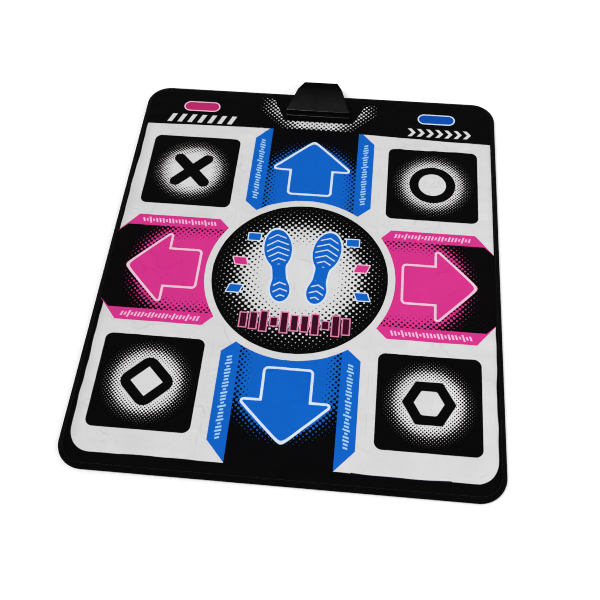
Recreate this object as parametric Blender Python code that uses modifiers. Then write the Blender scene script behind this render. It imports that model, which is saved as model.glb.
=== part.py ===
"""A dance mat controller: a padded floor mat with ten foot switches and a control box.

The mat folds along two lines, so every sheet is modelled in three panels. The origin is the
middle of the mat's underside, +X points to the player's right and +Y towards the control box.
All lengths are in metres.
"""

import math

import bmesh
import bpy
from mathutils import Matrix, Vector

# The mat's outline
MAT_WIDTH = 0.820
MAT_LENGTH = 0.965
CORNER_RADIUS = 0.052
CORNER_STEPS = 5

# The stack of sheets, from the floor up
BASE_SHEET_THICKNESS = 0.0012
BASE_FOAM_THICKNESS = 0.0085
FILM_THICKNESS = 0.0004
SPACER_THICKNESS = 0.0023
TOP_SHEET_THICKNESS = 0.0037
CLEARANCE = 0.0003

# The rolled edge and its binding tape
ROLL_WIDTH = 0.024
ROLL_HEIGHT = 0.011
ROLL_STEPS = 5
SEAM_STEPS = 2
UNDER_ROLL_WIDTH = 0.005
UNDER_ROLL_STEPS = 3
BINDING_WIDTH = 0.016
BINDING_THICKNESS = 0.001
FOAM_INSET = 0.0075

# The switches and the fold lines
PAD_CORNER_RADIUS = 0.015
PAD_CORNER_STEPS = 4
SIDE_BORDER = 0.043
FRONT_BORDER = 0.0805
HEADER_DEPTH = 0.1605
ROUND_PRINT_RADIUS = 0.196
ARROW_PAD_MARGIN = 0.004
ARROW_PAD_REACH = 0.008
ARROW_PAD_WIDTH = 0.190
SMALL_PAD_LENGTH = 0.086
SMALL_PAD_DEPTH = 0.032
SMALL_PAD_FROM_SIDE = 0.135
SMALL_PAD_FROM_BACK = 0.0635
MIDDLE_COLUMN_WIDTH = 0.274
COLUMN_GAP = 0.032
CONTACT_INSET = 0.006

# The control box
BOX_LENGTH = 0.112
BOX_OVERHANG = 0.0235
BOX_TAIL_LENGTH = 0.036
BOX_FRONT_WIDTH = 0.147
BOX_SHOULDER_WIDTH = 0.104
BOX_REAR_WIDTH = 0.078
BOX_HEIGHT = 0.025
BOX_LIP_HEIGHT = 0.0145
BOX_LIP_DEPTH = 0.0065
BOX_REAR_HEIGHT = 0.012
BOX_WALL = 0.0022
BOX_SHEET_OVERLAP = 0.0035
BOX_FLOOR_GAP = 0.0006
BOX_CORNER_RADIUS = 0.0035
BOX_SHOULDER_RADIUS = 0.0105
BOX_CORNER_STEPS = 4
BOX_EDGE_ROUNDING = 0.0012

# Inside the control box
BOARD_THICKNESS = 0.0016
BOARD_HEIGHT = 0.003
BOARD_FRONT_SPACE = 0.017
BOARD_REAR_SPACE = 0.018
BOARD_SIDE_SPACE = 0.0025
POST_RADIUS = 0.0042
BOSS_RADIUS = 0.0036
POST_FROM_SIDE = 0.017
FRONT_POST_FROM_FRONT = 0.024
REAR_POST_FROM_REAR = 0.028
SCREW_RADIUS = 0.0013
SCREW_HEAD_RADIUS = 0.0028
SCREW_HEAD_HEIGHT = 0.002
SCREW_HEAD_CHAMFER = 0.0005
SCREW_ENGAGEMENT = 0.009
RECESS_DEPTH = 0.0026
TAIL_WIDTH = 0.040
TAIL_FLAT_LENGTH = 0.007
TAIL_ON_BOARD = 0.011
TAIL_RISE_STEPS = 8
CLAMP_BAR_LENGTH = 0.046
CLAMP_BAR_DEPTH = 0.005
CLAMP_BAR_HEIGHT = 0.003
CLAMP_BAR_ROUNDING = 0.0012
CHIP_SIZE = 0.013
CHIP_HEIGHT = 0.0016
BUSH_RADIUS = 0.0045
BUSH_FLANGE_RADIUS = 0.0062
BUSH_FLANGE_THICKNESS = 0.0012
BUSH_BORE_RADIUS = 0.0017
ROUND_STEPS = 20

# How the shapes are finished: the distance under which points are welded, and angles in degrees
WELD_DISTANCE = 0.00001
BEVEL_ANGLE = 50
SMOOTH_ANGLE = 35

# Heights of the stack's faces above the floor
BASE_FOAM_BOTTOM = BASE_SHEET_THICKNESS + CLEARANCE
LOWER_FILM_BOTTOM = BASE_FOAM_BOTTOM + BASE_FOAM_THICKNESS + CLEARANCE
SPACER_BOTTOM = LOWER_FILM_BOTTOM + FILM_THICKNESS + CLEARANCE
UPPER_FILM_BOTTOM = SPACER_BOTTOM + SPACER_THICKNESS + CLEARANCE
TOP_SHEET_BOTTOM = UPPER_FILM_BOTTOM + FILM_THICKNESS + CLEARANCE
MAT_TOP = TOP_SHEET_BOTTOM + TOP_SHEET_THICKNESS

# Places that follow from the sizes
FRONT_EDGE = -MAT_LENGTH / 2
BACK_EDGE = MAT_LENGTH / 2
ROLL_MIDDLE = MAT_TOP - ROLL_HEIGHT
CORNER_PAD = (MAT_WIDTH - 2 * SIDE_BORDER - 2 * COLUMN_GAP - MIDDLE_COLUMN_WIDTH) / 2
COLUMN_PITCH = MAT_WIDTH / 2 - SIDE_BORDER - CORNER_PAD / 2
ROW_PITCH = (MAT_LENGTH - FRONT_BORDER - HEADER_DEPTH - CORNER_PAD) / 2
GRID_Y = FRONT_EDGE + FRONT_BORDER + CORNER_PAD / 2 + ROW_PITCH
FOLD_X = (MIDDLE_COLUMN_WIDTH + COLUMN_GAP) / 2
BOX_REAR = BACK_EDGE + BOX_OVERHANG
BOX_FRONT = BOX_REAR - BOX_LENGTH
BOX_SHOULDER = BOX_REAR - BOX_TAIL_LENGTH
SHELL_RIM = MAT_TOP + CLEARANCE
SHELL_TOP = MAT_TOP + BOX_HEIGHT
BOARD_BOTTOM = MAT_TOP + BOARD_HEIGHT
BOARD_TOP = BOARD_BOTTOM + BOARD_THICKNESS
BUSH_HEIGHT = MAT_TOP + CLEARANCE / 2
FAR = MAT_LENGTH

SIDES = {"left": -1, "middle": 0, "right": 1}


def clear_scene():
    for old in list(bpy.data.objects):
        bpy.data.objects.remove(old, do_unlink=True)


def new_collection(name):
    made = bpy.data.collections.new(name)
    bpy.context.scene.collection.children.link(made)
    return made


def material(name, colour, roughness, metallic=0.0):
    made = bpy.data.materials.new(name)
    made.use_nodes = True
    shader = made.node_tree.nodes["Principled BSDF"]
    shader.inputs["Base Color"].default_value = (*colour, 1.0)
    shader.inputs["Roughness"].default_value = roughness
    shader.inputs["Metallic"].default_value = metallic
    return made


def offset_corners(corners, inset):
    """The corners of a convex outline, listed anticlockwise, with every side moved in by inset."""
    count = len(corners)
    lines = []
    for i in range(count):
        start = Vector(corners[i])
        along = (Vector(corners[(i + 1) % count]) - start).normalized()
        inward = Vector((-along.y, along.x))
        lines.append((start + inward * inset, along))
    moved = []
    for i in range(count):
        (p, u), (q, v) = lines[i - 1], lines[i]
        reach = (q - p).cross(v) / u.cross(v)
        moved.append(p + u * reach)
    return moved


def rounded(corners, radii, steps=CORNER_STEPS):
    """An outline with an arc of each radius at each corner, and a plain corner where it is 0."""
    points = []
    count = len(corners)
    for i in range(count):
        corner, radius = Vector(corners[i]), radii[i]
        to_last = (Vector(corners[i - 1]) - corner).normalized()
        to_next = (Vector(corners[(i + 1) % count]) - corner).normalized()
        if radius <= 0:
            points.append(tuple(corner))
            continue
        half = to_last.angle(to_next) / 2
        centre = corner + (to_last + to_next).normalized() * (radius / math.sin(half))
        start = corner + to_last * (radius / math.tan(half)) - centre
        end = corner + to_next * (radius / math.tan(half)) - centre
        turn = start.angle_signed(end)
        for step in range(steps + 1):
            spoke = Matrix.Rotation(-turn * step / steps, 2) @ start
            points.append(tuple(centre + spoke))
    return points


def rectangle(x_low, x_high, y_low, y_high, radius=0.0, steps=CORNER_STEPS):
    corners = [(x_low, y_low), (x_high, y_low), (x_high, y_high), (x_low, y_high)]
    return rounded(corners, [radius] * 4, steps)


def mat_outline(inset):
    """The whole mat's outline with every edge moved in by inset."""
    across, along = MAT_WIDTH / 2 - inset, MAT_LENGTH / 2 - inset
    radius = max(CORNER_RADIUS - inset, CLEARANCE)
    return rectangle(-across, across, -along, along, radius)


def fold_cut(side):
    """How far from the mat's middle a panel ends at its fold."""
    if side == 0:
        return FOLD_X - CLEARANCE / 2
    return FOLD_X + CLEARANCE / 2


def panel_outline(side, inset):
    """One panel's outline: the mat's edge moved in by inset, and a straight cut at each fold."""
    cut = fold_cut(side)
    along = MAT_LENGTH / 2 - inset
    if side == 0:
        return rectangle(-cut, cut, -along, along)
    outer = MAT_WIDTH / 2 - inset
    radius = max(CORNER_RADIUS - inset, CLEARANCE)
    corners = [(cut, -along), (outer, -along), (outer, along), (cut, along)]
    points = rounded(corners, [0, radius, radius, 0])
    return [(side * x, y) for x, y in points]


def flank_half_width(y):
    """Half the control box's width at y."""
    if y < BOX_SHOULDER:
        share = (y - BOX_FRONT) / (BOX_SHOULDER - BOX_FRONT)
        return (BOX_FRONT_WIDTH + (BOX_SHOULDER_WIDTH - BOX_FRONT_WIDTH) * share) / 2
    share = (y - BOX_SHOULDER) / BOX_TAIL_LENGTH
    return (BOX_SHOULDER_WIDTH + (BOX_REAR_WIDTH - BOX_SHOULDER_WIDTH) * share) / 2


def box_outline(inset):
    """The control box's outline seen from above, with every side moved in by inset."""
    right = [(flank_half_width(y), y) for y in (BOX_FRONT, BOX_SHOULDER, BOX_REAR)]
    left = [(-x, y) for x, y in reversed(right)]
    corners = offset_corners(right + left, inset)
    end = max(BOX_CORNER_RADIUS - inset, 2 * CLEARANCE)
    shoulder = max(BOX_SHOULDER_RADIUS - inset, 2 * CLEARANCE)
    return rounded(corners, [end, shoulder, end, end, shoulder, end], BOX_CORNER_STEPS)


def as_mesh(curve_object):
    """The curve object as a mesh object of the same name, with its caps welded on."""
    bpy.context.view_layer.update()
    evaluated = curve_object.evaluated_get(bpy.context.evaluated_depsgraph_get())
    mesh = bpy.data.meshes.new_from_object(evaluated)
    mesh.name = curve_object.name
    editing = bmesh.new()
    editing.from_mesh(mesh)
    bmesh.ops.remove_doubles(editing, verts=editing.verts, dist=WELD_DISTANCE)
    editing.to_mesh(mesh)
    editing.free()
    name, home = curve_object.name, curve_object.users_collection[0]
    place = curve_object.matrix_world.copy()
    bpy.data.objects.remove(curve_object, do_unlink=True)
    made = bpy.data.objects.new(name, mesh)
    made.matrix_world = place
    home.objects.link(made)
    return made


def plate(name, outlines, bottom, top, finish=None, home=None):
    """A flat sheet between two heights. The first outline is its edge and the rest are holes."""
    curve = bpy.data.curves.new(name, "CURVE")
    curve.dimensions = "2D"
    curve.fill_mode = "BOTH"
    curve.extrude = (top - bottom) / 2
    for outline in outlines:
        spline = curve.splines.new("POLY")
        spline.points.add(len(outline) - 1)
        for point, (x, y) in zip(spline.points, outline):
            point.co = (x, y, 0, 1)
        spline.use_cyclic_u = True
    made = bpy.data.objects.new(name, curve)
    made.location.z = (top + bottom) / 2
    (home or parts).objects.link(made)
    made = as_mesh(made)
    if finish:
        made.data.materials.append(finish)
    return made


def ring_solid(name, section, closed, finish=None):
    """A solid that follows the mat's outline. Its section lists (inset, height) points."""
    editing = bmesh.new()
    rings = []
    for inset, height in section:
        rings.append([editing.verts.new((x, y, height)) for x, y in mat_outline(inset)])
    pairs = list(zip(rings, rings[1:]))
    if closed:
        pairs.append((rings[-1], rings[0]))
    else:
        editing.faces.new(rings[0])
        editing.faces.new(list(reversed(rings[-1])))
    count = len(rings[0])
    for ring, following in pairs:
        for i in range(count):
            j = (i + 1) % count
            editing.faces.new((ring[i], following[i], following[j], ring[j]))
    bmesh.ops.recalc_face_normals(editing, faces=editing.faces)
    mesh = bpy.data.meshes.new(name)
    editing.to_mesh(mesh)
    editing.free()
    made = bpy.data.objects.new(name, mesh)
    parts.objects.link(made)
    if finish:
        mesh.materials.append(finish)
    return made


def block(name, low, high, home=None):
    """A box between two opposite corners."""
    bpy.ops.mesh.primitive_cube_add(size=1)
    made = bpy.context.object
    made.name = name
    size = Vector(high) - Vector(low)
    middle = (Vector(high) + Vector(low)) / 2
    made.data.transform(Matrix.Translation(middle) @ Matrix.Diagonal((*size, 1)))
    return moved_to(made, home or cutters)


def cylinder(name, radius, start, end, home=None):
    """A cylinder between two points on its axis, which lies along Y or Z."""
    start, end = Vector(start), Vector(end)
    length = (end - start).length
    bpy.ops.mesh.primitive_cylinder_add(vertices=ROUND_STEPS, radius=radius, depth=length)
    made = bpy.context.object
    made.name = name
    turn = (end - start).to_track_quat("Z", "Y").to_matrix().to_4x4()
    made.data.transform(Matrix.Translation((start + end) / 2) @ turn)
    return moved_to(made, home or cutters)


def moved_to(obj, home):
    for old in list(obj.users_collection):
        old.objects.unlink(obj)
    home.objects.link(obj)
    return obj


def as_cutter(obj):
    """Puts a shape away among the cutters, so that it is no part of the object."""
    moved_to(obj, cutters)
    obj.hide_render = True
    obj.display_type = "WIRE"
    return obj


def combine(obj, tool, operation):
    as_cutter(tool)
    modifier = obj.modifiers.new(f"{operation.lower()} {tool.name}", "BOOLEAN")
    modifier.operation = operation
    modifier.object = tool
    return obj


def soften(obj, width):
    """Rounds the edges between faces that meet sharply."""
    modifier = obj.modifiers.new("rounded edges", "BEVEL")
    modifier.width = width
    modifier.segments = 2
    modifier.limit_method = "ANGLE"
    modifier.angle_limit = math.radians(BEVEL_ANGLE)


def smooth(obj):
    obj.data.shade_smooth()
    obj.data.set_sharp_from_angle(angle=math.radians(SMOOTH_ANGLE))


def turned(name, profile, finish, place):
    """A round piece about a vertical axis. The profile runs down its outer side, top to bottom."""
    mesh = bpy.data.meshes.new(name)
    points = [(radius, 0, height) for radius, height in profile]
    mesh.from_pydata(points, [(i, i + 1) for i in range(len(points) - 1)], [])
    mesh.materials.append(finish)
    made = bpy.data.objects.new(name, mesh)
    made.location = place
    parts.objects.link(made)
    screw = made.modifiers.new("turned", "SCREW")
    screw.steps = ROUND_STEPS
    screw.render_steps = ROUND_STEPS
    screw.use_merge_vertices = True
    screw.merge_threshold = WELD_DISTANCE
    screw.use_smooth_shade = True
    return made


def axis_empty(name, place, parent=None):
    """An empty on a joint's axis, to which the moving pieces are parented."""
    made = bpy.data.objects.new(name, None)
    made.location = place
    parts.objects.link(made)
    if parent:
        attach(made, parent)
    return made


def world_place(obj):
    place = obj.location.copy()
    while obj.parent:
        obj = obj.parent
        place += obj.location
    return place


def attach(obj, parent):
    """Parents the object without moving it. Parents are turned and scaled by nothing."""
    obj.location = obj.location - world_place(parent)
    obj.parent = parent


def arc_points(centre, radii, first, last, steps):
    """Points on an ellipse in the (inset, height) plane, by angle in degrees."""
    points = []
    for step in range(steps + 1):
        angle = math.radians(first + (last - first) * step / steps)
        inset = centre[0] - radii[0] * math.cos(angle)
        points.append((inset, centre[1] + radii[1] * math.sin(angle)))
    return points


def seam_angle(radius, inset):
    """The angle at which the rolled edge's ellipse reaches this inset, in degrees."""
    return math.degrees(math.acos((ROLL_WIDTH - inset) / radius))


def top_sheet_section():
    """The cover: flat on top, rolled down at the edge, and thinner under the binding."""
    centre = (ROLL_WIDTH, ROLL_MIDDLE)
    seam = BINDING_WIDTH + CLEARANCE
    under = BINDING_THICKNESS + CLEARANCE
    full = (ROLL_WIDTH, ROLL_HEIGHT)
    rim = (ROLL_WIDTH - under, ROLL_HEIGHT - under)
    inner = (ROLL_WIDTH - TOP_SHEET_THICKNESS, ROLL_HEIGHT - TOP_SHEET_THICKNESS)
    section = arc_points(centre, full, 90, seam_angle(full[0], seam), SEAM_STEPS)
    section += arc_points(centre, rim, seam_angle(rim[0], seam), 0, ROLL_STEPS)
    section += arc_points(centre, inner, 0, 90, ROLL_STEPS)
    return section


def binding_section():
    """The tape: over the rolled edge, round it and back along the floor."""
    centre = (ROLL_WIDTH, ROLL_MIDDLE)
    foot = (UNDER_ROLL_WIDTH, ROLL_MIDDLE)
    tape = BINDING_THICKNESS
    upper = (ROLL_WIDTH, ROLL_HEIGHT)
    lower = (UNDER_ROLL_WIDTH, ROLL_MIDDLE)
    inner_upper = (upper[0] - tape, upper[1] - tape)
    inner_lower = (lower[0] - tape, lower[1] - tape)
    section = arc_points(centre, upper, seam_angle(upper[0], BINDING_WIDTH), 0, ROLL_STEPS)
    section += arc_points(foot, lower, 0, -90, UNDER_ROLL_STEPS)[1:]
    section += [(BINDING_WIDTH, 0), (BINDING_WIDTH, tape)]
    section += arc_points(foot, inner_lower, -90, 0, UNDER_ROLL_STEPS)
    top_angle = seam_angle(inner_upper[0], BINDING_WIDTH)
    section += arc_points(centre, inner_upper, 0, top_angle, ROLL_STEPS)[1:]
    return section


def pad_list():
    """Every switch: its name, panel, centre and size."""
    small_x = MAT_WIDTH / 2 - SMALL_PAD_FROM_SIDE
    small_y = BACK_EDGE - SMALL_PAD_FROM_BACK
    inner = ROUND_PRINT_RADIUS + ARROW_PAD_MARGIN
    outer_x = COLUMN_PITCH + CORNER_PAD / 2 + ARROW_PAD_REACH
    outer_y = ROW_PITCH + CORNER_PAD / 2 + ARROW_PAD_REACH
    pads = []
    for panel in ("left", "right"):
        side = SIDES[panel]
        for row, step in (("back", 1), ("front", -1)):
            centre = (side * COLUMN_PITCH, GRID_Y + step * ROW_PITCH)
            pads.append((f"{row}_{panel}", panel, centre, (CORNER_PAD, CORNER_PAD)))
        centre = (side * (inner + outer_x) / 2, GRID_Y)
        pads.append((f"arrow_{panel}", panel, centre, (outer_x - inner, ARROW_PAD_WIDTH)))
        size = (SMALL_PAD_LENGTH, SMALL_PAD_DEPTH)
        pads.append((f"small_{panel}", panel, (side * small_x, small_y), size))
    for row, step in (("back", 1), ("front", -1)):
        centre = (0, GRID_Y + step * (inner + outer_y) / 2)
        pads.append((f"arrow_{row}", "middle", centre, (ARROW_PAD_WIDTH, outer_y - inner)))
    return pads


def pad_outline(pad, inset):
    """A switch's outline with every edge moved in by inset."""
    _, _, (x, y), (across, along) = pad
    half_x, half_y = across / 2 - inset, along / 2 - inset
    radius = min(PAD_CORNER_RADIUS, SMALL_PAD_DEPTH / 2 - CLEARANCE) - inset
    edges = (x - half_x, x + half_x, y - half_y, y + half_y)
    return rectangle(*edges, radius, PAD_CORNER_STEPS)


def panel_cutter(panel):
    """A tall box over one panel, up to its fold lines."""
    side = SIDES[panel]
    cut = fold_cut(side)
    name = f"{panel}_panel_range"
    if side == 0:
        return as_cutter(block(name, (-cut, -FAR, -FAR), (cut, FAR, FAR)))
    low, high = sorted((side * cut, side * FAR))
    return as_cutter(block(name, (low, -FAR, -FAR), (high, FAR, FAR)))


def box_space(name, inset, bottom, top):
    """A cutter with the control box's outline, reaching well behind it."""
    return as_cutter(plate(name, [box_outline(inset)], bottom, top, home=cutters))


def sheets(pads):
    """Every layer of the mat, panel by panel. It returns the objects of each panel."""
    box_hole = box_space("box_hole", -CLEARANCE, -FAR, MAT_TOP + FAR)
    made = {"left": [], "middle": [], "right": []}
    for panel, side in SIDES.items():
        windows = [pad_outline(pad, -CLEARANCE) for pad in pads if pad[1] == panel]
        layers = (
            ("base_sheet", 0, BASE_SHEET_THICKNESS, BINDING_WIDTH + CLEARANCE, False, base_cloth),
            ("base_foam", BASE_FOAM_BOTTOM, BASE_FOAM_THICKNESS, FOAM_INSET, False, foam),
            ("lower_film", LOWER_FILM_BOTTOM, FILM_THICKNESS, ROLL_WIDTH, False, film),
            ("spacer_foam", SPACER_BOTTOM, SPACER_THICKNESS, ROLL_WIDTH, True, spacer),
            ("upper_film", UPPER_FILM_BOTTOM, FILM_THICKNESS, ROLL_WIDTH, True, film),
        )
        for name, bottom, thickness, inset, open_at_pads, finish in layers:
            outlines = [panel_outline(side, inset)]
            if open_at_pads:
                outlines += windows
            sheet = plate(f"{name}_{panel}", outlines, bottom, bottom + thickness, finish)
            if panel == "middle":
                combine(sheet, box_hole, "DIFFERENCE")
            made[panel].append(sheet)
    return made


def top_sheets(pads):
    """The printed cover in its three panels, open where the switches move."""
    notch = box_space("sheet_notch", BOX_SHEET_OVERLAP, 0, MAT_TOP + FAR)
    edge_low = BACK_EDGE - ROLL_WIDTH - CLEARANCE
    edge_notch = box_space("edge_notch", -CLEARANCE, -CLEARANCE, MAT_TOP + FAR)
    edge_range = block("edge_range", (-FAR, edge_low, -FAR), (FAR, FAR, FAR))
    combine(edge_notch, edge_range, "INTERSECT")
    made = {}
    for panel in SIDES:
        sheet = ring_solid(f"top_sheet_{panel}", top_sheet_section(), False, cover)
        combine(sheet, panel_cutter(panel), "INTERSECT")
        for pad in pads:
            if pad[1] != panel:
                continue
            name = f"window_{pad[0]}"
            outline = pad_outline(pad, -CLEARANCE)
            window = plate(name, [outline], 0, MAT_TOP + CLEARANCE, home=cutters)
            combine(sheet, window, "DIFFERENCE")
        if panel == "middle":
            combine(sheet, notch, "DIFFERENCE")
            combine(sheet, edge_notch, "DIFFERENCE")
        made[panel] = [sheet]
    return made


def bindings():
    """The edge tape in five lengths: one round each side panel, one in front, two at the back."""
    gap = box_space("binding_gap", -CLEARANCE, -FAR, FAR)
    cut = FOLD_X - CLEARANCE / 2
    ranges = {
        "binding_left": ("left", panel_cutter("left")),
        "binding_right": ("right", panel_cutter("right")),
        "binding_front": ("middle", block("front_range", (-cut, -FAR, -FAR), (cut, 0, FAR))),
        "binding_back_left": ("middle", block("back_left_range", (-cut, 0, -FAR), (0, FAR, FAR))),
        "binding_back_right": ("middle", block("back_right_range", (0, 0, -FAR), (cut, FAR, FAR))),
    }
    made = {"left": [], "middle": [], "right": []}
    for name, (panel, stretch) in ranges.items():
        tape = ring_solid(name, binding_section(), True, tape_cloth)
        combine(tape, stretch, "INTERSECT")
        if "back" in name:
            combine(tape, gap, "DIFFERENCE")
        made[panel].append(tape)
    return made


def switches(pads):
    """Each switch's patch of cover and the conductive patch that it presses down."""
    made = {}
    for pad in pads:
        name = pad[0]
        patch = plate(
            f"pad_{name}", [pad_outline(pad, 0)], TOP_SHEET_BOTTOM, MAT_TOP, pad_finish(name)
        )
        contact = plate(
            f"contact_{name}",
            [pad_outline(pad, CONTACT_INSET)],
            UPPER_FILM_BOTTOM,
            UPPER_FILM_BOTTOM + FILM_THICKNESS,
            carbon,
        )
        made[name] = [patch, contact]
    return made


def pad_finish(name):
    if name in ("arrow_left", "arrow_right", "small_left"):
        return pink
    if name in ("arrow_back", "arrow_front", "small_right"):
        return blue
    return black_print


def post_places():
    """The four places where the two shells are screwed together."""
    front = BOX_FRONT + FRONT_POST_FROM_FRONT
    rear = BOX_REAR - REAR_POST_FROM_REAR
    places = {}
    for row, y in (("front", front), ("rear", rear)):
        x = flank_half_width(y) - POST_FROM_SIDE
        places[f"{row}_left"] = (-x, y)
        places[f"{row}_right"] = (x, y)
    return places


def roof_height(y):
    """The height of the control box's top face at y."""
    slope = (BOX_HEIGHT - BOX_REAR_HEIGHT) / BOX_TAIL_LENGTH
    return SHELL_TOP - max(0, y - BOX_SHOULDER) * slope


def tail_slope_cutter(name, lower_by):
    """A wedge over the control box's sloping tail, lowered by the roof's thickness if asked."""
    run = BOX_TAIL_LENGTH + BOX_OVERHANG
    drop = (BOX_HEIGHT - BOX_REAR_HEIGHT) * run / BOX_TAIL_LENGTH
    wedge = block(name, (-FAR, BOX_SHOULDER, 0), (FAR, BOX_SHOULDER + run, FAR))
    for corner in wedge.data.vertices:
        if corner.co.z < FAR / 2:
            at_end = corner.co.y > BOX_SHOULDER + run / 2
            corner.co.z = SHELL_TOP - lower_by - (drop if at_end else 0)
    return as_cutter(wedge)


def bush_cutter(name, radius):
    """A cutter along the bush's axis, from inside the control box to well behind it."""
    start = (0, BOX_REAR - BOX_WALL - 2 * BUSH_RADIUS, BUSH_HEIGHT)
    return as_cutter(cylinder(name, radius, start, (0, FAR, BUSH_HEIGHT)))


def bush_hole():
    return bush_cutter("bush_hole", BUSH_RADIUS + CLEARANCE)


def upper_shell():
    """The box's cover: a low front lip, a higher body behind it and a sloping tail."""
    shell = plate("upper_shell", [box_outline(0)], SHELL_RIM, SHELL_TOP, shell_plastic)
    hollow_bottom = SHELL_RIM - BOX_WALL
    hollow = box_space("shell_hollow", BOX_WALL, hollow_bottom, SHELL_TOP - BOX_WALL)
    for solid, wall in ((shell, 0), (hollow, BOX_WALL)):
        combine(solid, tail_slope_cutter(f"{solid.name}_slope", wall), "DIFFERENCE")
        lip_end = BOX_FRONT + BOX_LIP_DEPTH + wall
        lip_top = MAT_TOP + BOX_LIP_HEIGHT - wall
        step = block(f"{solid.name}_step", (-FAR, -FAR, lip_top), (FAR, lip_end, FAR))
        combine(solid, step, "DIFFERENCE")
    soften(shell, BOX_EDGE_ROUNDING)
    combine(shell, hollow, "DIFFERENCE")
    pilot = SCREW_RADIUS + CLEARANCE
    for place, (x, y) in post_places().items():
        start = BOARD_TOP + CLEARANCE
        end = roof_height(y) - BOX_WALL / 2
        boss = cylinder(f"boss_{place}", BOSS_RADIUS, (x, y, start), (x, y, end))
        combine(shell, boss, "UNION")
        hole_end = screw_tip() + CLEARANCE
        hole = cylinder(f"pilot_{place}", pilot, (x, y, start - BOSS_RADIUS), (x, y, hole_end))
        combine(shell, hole, "DIFFERENCE")
    combine(shell, bush_hole(), "DIFFERENCE")
    return shell


def lower_shell():
    """The tray under the mat, with the posts that carry the circuit board."""
    bottom = BOX_FLOOR_GAP
    tray = plate("lower_shell", [box_outline(0)], bottom, MAT_TOP, shell_plastic)
    hollow = box_space("tray_hollow", BOX_WALL, bottom + BOX_WALL, MAT_TOP + BOX_WALL)
    combine(tray, hollow, "DIFFERENCE")
    rim = TOP_SHEET_BOTTOM - CLEARANCE
    step_end = BACK_EDGE - ROLL_WIDTH
    step = block("sheet_step", (-FAR, BOX_FRONT - FAR, rim), (FAR, step_end, rim + FAR))
    combine(tray, step, "DIFFERENCE")
    half_slot = TAIL_WIDTH / 2 + CLEARANCE
    slot_bottom = UPPER_FILM_BOTTOM - CLEARANCE
    slot_end = BOX_FRONT + BOX_WALL + CLEARANCE
    slot = block(
        "tail_slot",
        (-half_slot, BOX_FRONT - BOX_WALL, slot_bottom),
        (half_slot, slot_end, MAT_TOP),
    )
    combine(tray, slot, "DIFFERENCE")
    for place, (x, y) in post_places().items():
        post_top = BOARD_BOTTOM - CLEARANCE
        post_start = bottom + BOX_WALL / 2
        post = cylinder(f"post_{place}", POST_RADIUS, (x, y, post_start), (x, y, post_top))
        combine(tray, post, "UNION")
        recess_radius = SCREW_HEAD_RADIUS + CLEARANCE
        recess_top = bottom + RECESS_DEPTH
        recess = cylinder(f"recess_{place}", recess_radius, (x, y, -FAR), (x, y, recess_top))
        combine(tray, recess, "DIFFERENCE")
        shank = SCREW_RADIUS + CLEARANCE
        hole = cylinder(f"shank_{place}", shank, (x, y, -FAR), (x, y, MAT_TOP + FAR))
        combine(tray, hole, "DIFFERENCE")
    combine(tray, bush_hole(), "DIFFERENCE")
    return tray


def screw_tip():
    return BOARD_TOP + CLEARANCE + SCREW_ENGAGEMENT


def case_screws():
    """Four screws from below, through the posts and the board into the upper shell's bosses."""
    head_top = BOX_FLOOR_GAP + RECESS_DEPTH - CLEARANCE
    head_bottom = head_top - SCREW_HEAD_HEIGHT
    made = []
    for place, (x, y) in post_places().items():
        profile = [
            (0, screw_tip() - head_bottom),
            (SCREW_RADIUS / 2, screw_tip() - head_bottom),
            (SCREW_RADIUS, screw_tip() - head_bottom - SCREW_RADIUS),
            (SCREW_RADIUS, SCREW_HEAD_HEIGHT),
            (SCREW_HEAD_RADIUS, SCREW_HEAD_HEIGHT),
            (SCREW_HEAD_RADIUS, SCREW_HEAD_CHAMFER),
            (SCREW_HEAD_RADIUS - SCREW_HEAD_CHAMFER, 0),
            (0, 0),
        ]
        made.append(turned(f"case_screw_{place}", profile, steel, (x, y, head_bottom)))
    return made


def board_outline():
    front = BOX_FRONT + BOARD_FRONT_SPACE
    rear = BOX_REAR - BOARD_REAR_SPACE
    space = BOX_WALL + BOARD_SIDE_SPACE
    ys = (front, BOX_SHOULDER, rear)
    right = [(flank_half_width(y) - space, y) for y in ys]
    return right + [(-x, y) for x, y in reversed(right)]


def board_pieces():
    """The circuit board, its chip, the bar over the film tail, and the tail itself."""
    board = plate("circuit_board", [board_outline()], BOARD_BOTTOM, BOARD_TOP, board_green)
    hole_radius = SCREW_RADIUS + CLEARANCE
    for place, (x, y) in post_places().items():
        low, high = (x, y, BOARD_BOTTOM - BOARD_HEIGHT), (x, y, BOARD_TOP + BOARD_HEIGHT)
        combine(board, cylinder(f"board_hole_{place}", hole_radius, low, high), "DIFFERENCE")
    on_board = BOARD_TOP + CLEARANCE
    board_front = BOX_FRONT + BOARD_FRONT_SPACE
    chip_y = (board_front + TAIL_ON_BOARD + BOX_REAR - BOARD_REAR_SPACE) / 2
    half = CHIP_SIZE / 2
    chip_edge = rectangle(-half, half, chip_y - half, chip_y + half)
    chip = plate("encoder_chip", [chip_edge], on_board, on_board + CHIP_HEIGHT, chip_black)
    bar_y = board_front + TAIL_ON_BOARD / 2
    bar_bottom = on_board + FILM_THICKNESS + CLEARANCE
    half_long, half_deep = CLAMP_BAR_LENGTH / 2, CLAMP_BAR_DEPTH / 2
    bar_sides = (-half_long, half_long, bar_y - half_deep, bar_y + half_deep)
    bar_edge = rectangle(*bar_sides, CLAMP_BAR_ROUNDING)
    bar = plate("tail_clamp", [bar_edge], bar_bottom, bar_bottom + CLAMP_BAR_HEIGHT, tail_plastic)
    return [board, chip, bar, film_tail(board_front, on_board)]


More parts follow.
